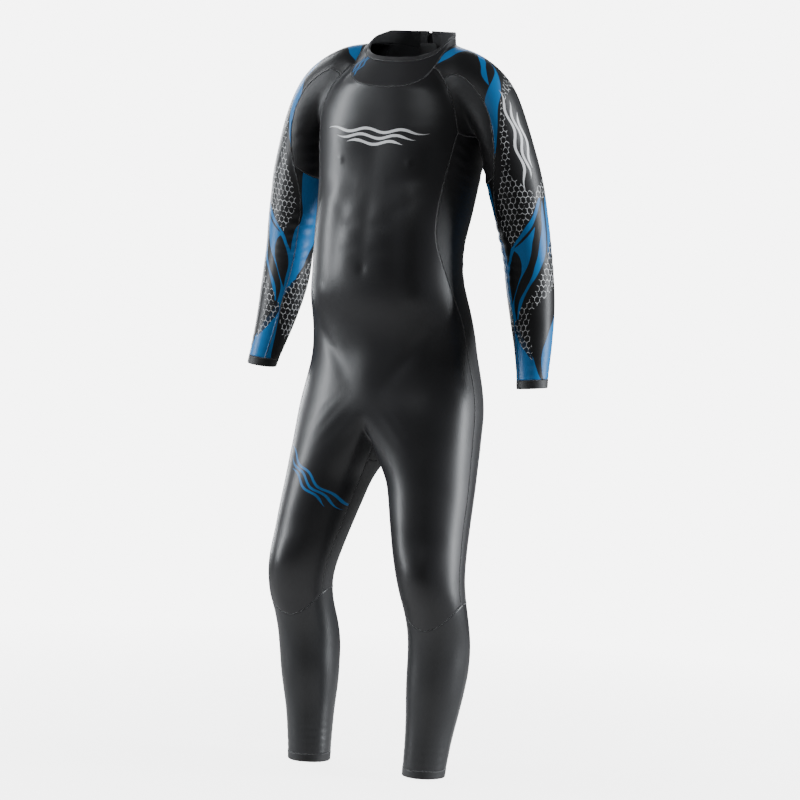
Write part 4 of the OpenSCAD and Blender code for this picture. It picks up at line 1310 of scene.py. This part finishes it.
def make_panels(surface, materials):
    for name in PANELS:
        finish = FINISHES[base_name(name)]
        proud = 0.5 * MM if finish == "edge_binding" else 0.0
        piece = panel_piece(surface, name, proud)
        piece.data.materials.append(materials[finish])
        piece.data.materials.append(materials["lining"])
        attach(piece, "suit")
        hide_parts(name)
        "smooth_neoprene" if finish == "neck_neoprene" else finish
    for name in PANELS:
        width, length, area, holder = CUTS[base_name(name)]


# ---------------------------------------------------------------- studio
# Azimuth and elevation of the view, and how far the camera leans
VIEW_TURN, VIEW_RISE, VIEW_ROLL = math.radians(28), math.radians(4), math.radians(3.2)
VIEW_ASIDE, VIEW_HEIGHT, VIEW_WIDE, VIEW_AWAY = 0.021, HEM + 0.716, 1.544, 6.5
# Light of the white background, and what of it reaches the suit
BACKGROUND, AMBIENT = 6.5, 0.12
LIGHT_TINT, LIT_POINT = (0.93, 0.965, 1.0), Vector((0, 0, -0.62))
# Name, azimuth, height, distance, width, height of the lamp, power
LIGHTS = (("key_left", -64, 0.1, 2.6, 0.40, 2.8, 105), ("rim_right", 114, 0.0, 2.6, 0.5, 3.0, 140),
          ("front_fill", 14, 2.0, 3.4, 1.8, 1.0, 20), ("rim_left", -118, 0.1, 2.6, 0.4, 2.6, 60),
          ("back_fill", 208, 1.2, 3.6, 1.6, 1.6, 40))


def paper_floor():
    """A white disc that fades away before its edge."""
    reach = 2.4
    mesh = bpy.data.meshes.new("floor")
    mesh.from_pydata([(reach * sin(a), reach * cos(a), HEM - 0.004) for a in range(354, -1, -6)],
                     [], [tuple(range(60))])
    s = Shade("paper")
    far = s.value("VectorMath", {"operation": "LENGTH"}, {0: s.spot()}, "Value")
    cover = ((1 - far / reach) * 1.6).clamped() * 0.55
    mesh.materials.append(s.finish((0.9, 0.9, 0.9), 0.95, Specular_IOR_Level=0.0, Alpha=cover,
                                   Emission_Color=(1, 1, 1, 1), Emission_Strength=1.0))
    floor = in_scene("floor", mesh)


def white_world():
    """White behind the suit, of which only a little lights it."""
    world = bpy.data.worlds.new("studio")
    world.use_nodes = True
    nodes, links = world.node_tree.nodes, world.node_tree.links
    near = nodes["Background"]
    far, ray, either = (nodes.new("ShaderNode" + kind)
                        for kind in ("Background", "LightPath", "MixShader"))
    for light, strength in ((near, AMBIENT), (far, BACKGROUND)):
        light.inputs[0].default_value = (1, 1, 1, 1)
        light.inputs[1].default_value = strength
    links.new(ray.outputs["Is Camera Ray"], either.inputs[0])
    links.new(near.outputs[0], either.inputs[1])
    links.new(far.outputs[0], either.inputs[2])
    links.new(either.outputs[0], nodes["World Output"].inputs[0])
    bpy.context.scene.world = world


def lamps():
    for name, azimuth, height, away, size, tall, power in LIGHTS:
        lamp = bpy.data.lights.new(name, "AREA")
        lamp.shape, lamp.size, lamp.size_y, lamp.energy = "RECTANGLE", size, tall, power
        lamp.color = LIGHT_TINT
        light = in_scene(name, lamp)
        light.location = spot = Vector((away * sin(azimuth), -away * cos(azimuth), height))
        light.rotation_euler = (LIT_POINT - spot).to_track_quat("-Z", "Y").to_euler()


def camera():
    lens = bpy.data.cameras.new("camera")
    lens.sensor_width = 36
    lens.lens = lens.sensor_width * VIEW_AWAY / VIEW_WIDE
    eye = in_scene("camera", lens)
    right = Vector((math.cos(VIEW_TURN), math.sin(VIEW_TURN), 0))
    back = Vector((math.sin(VIEW_TURN) * math.cos(VIEW_RISE),
                   -math.cos(VIEW_TURN) * math.cos(VIEW_RISE), math.sin(VIEW_RISE)))
    eye.location = Vector((0, 0, VIEW_HEIGHT)) + right * VIEW_ASIDE + back * VIEW_AWAY
    eye.rotation_mode = "QUATERNION"
    eye.rotation_quaternion = ((-back).to_track_quat("-Z", "Y")
                               @ Matrix.Rotation(VIEW_ROLL, 4, "Z").to_quaternion())
    bpy.context.scene.camera = eye


camera()
paper_floor()
white_world()
lamps()
materials = make_materials()
surface = Surface(refined(body_cage(), levels=3))
make_panels(surface, materials)
small_parts(row_tree(), surface)
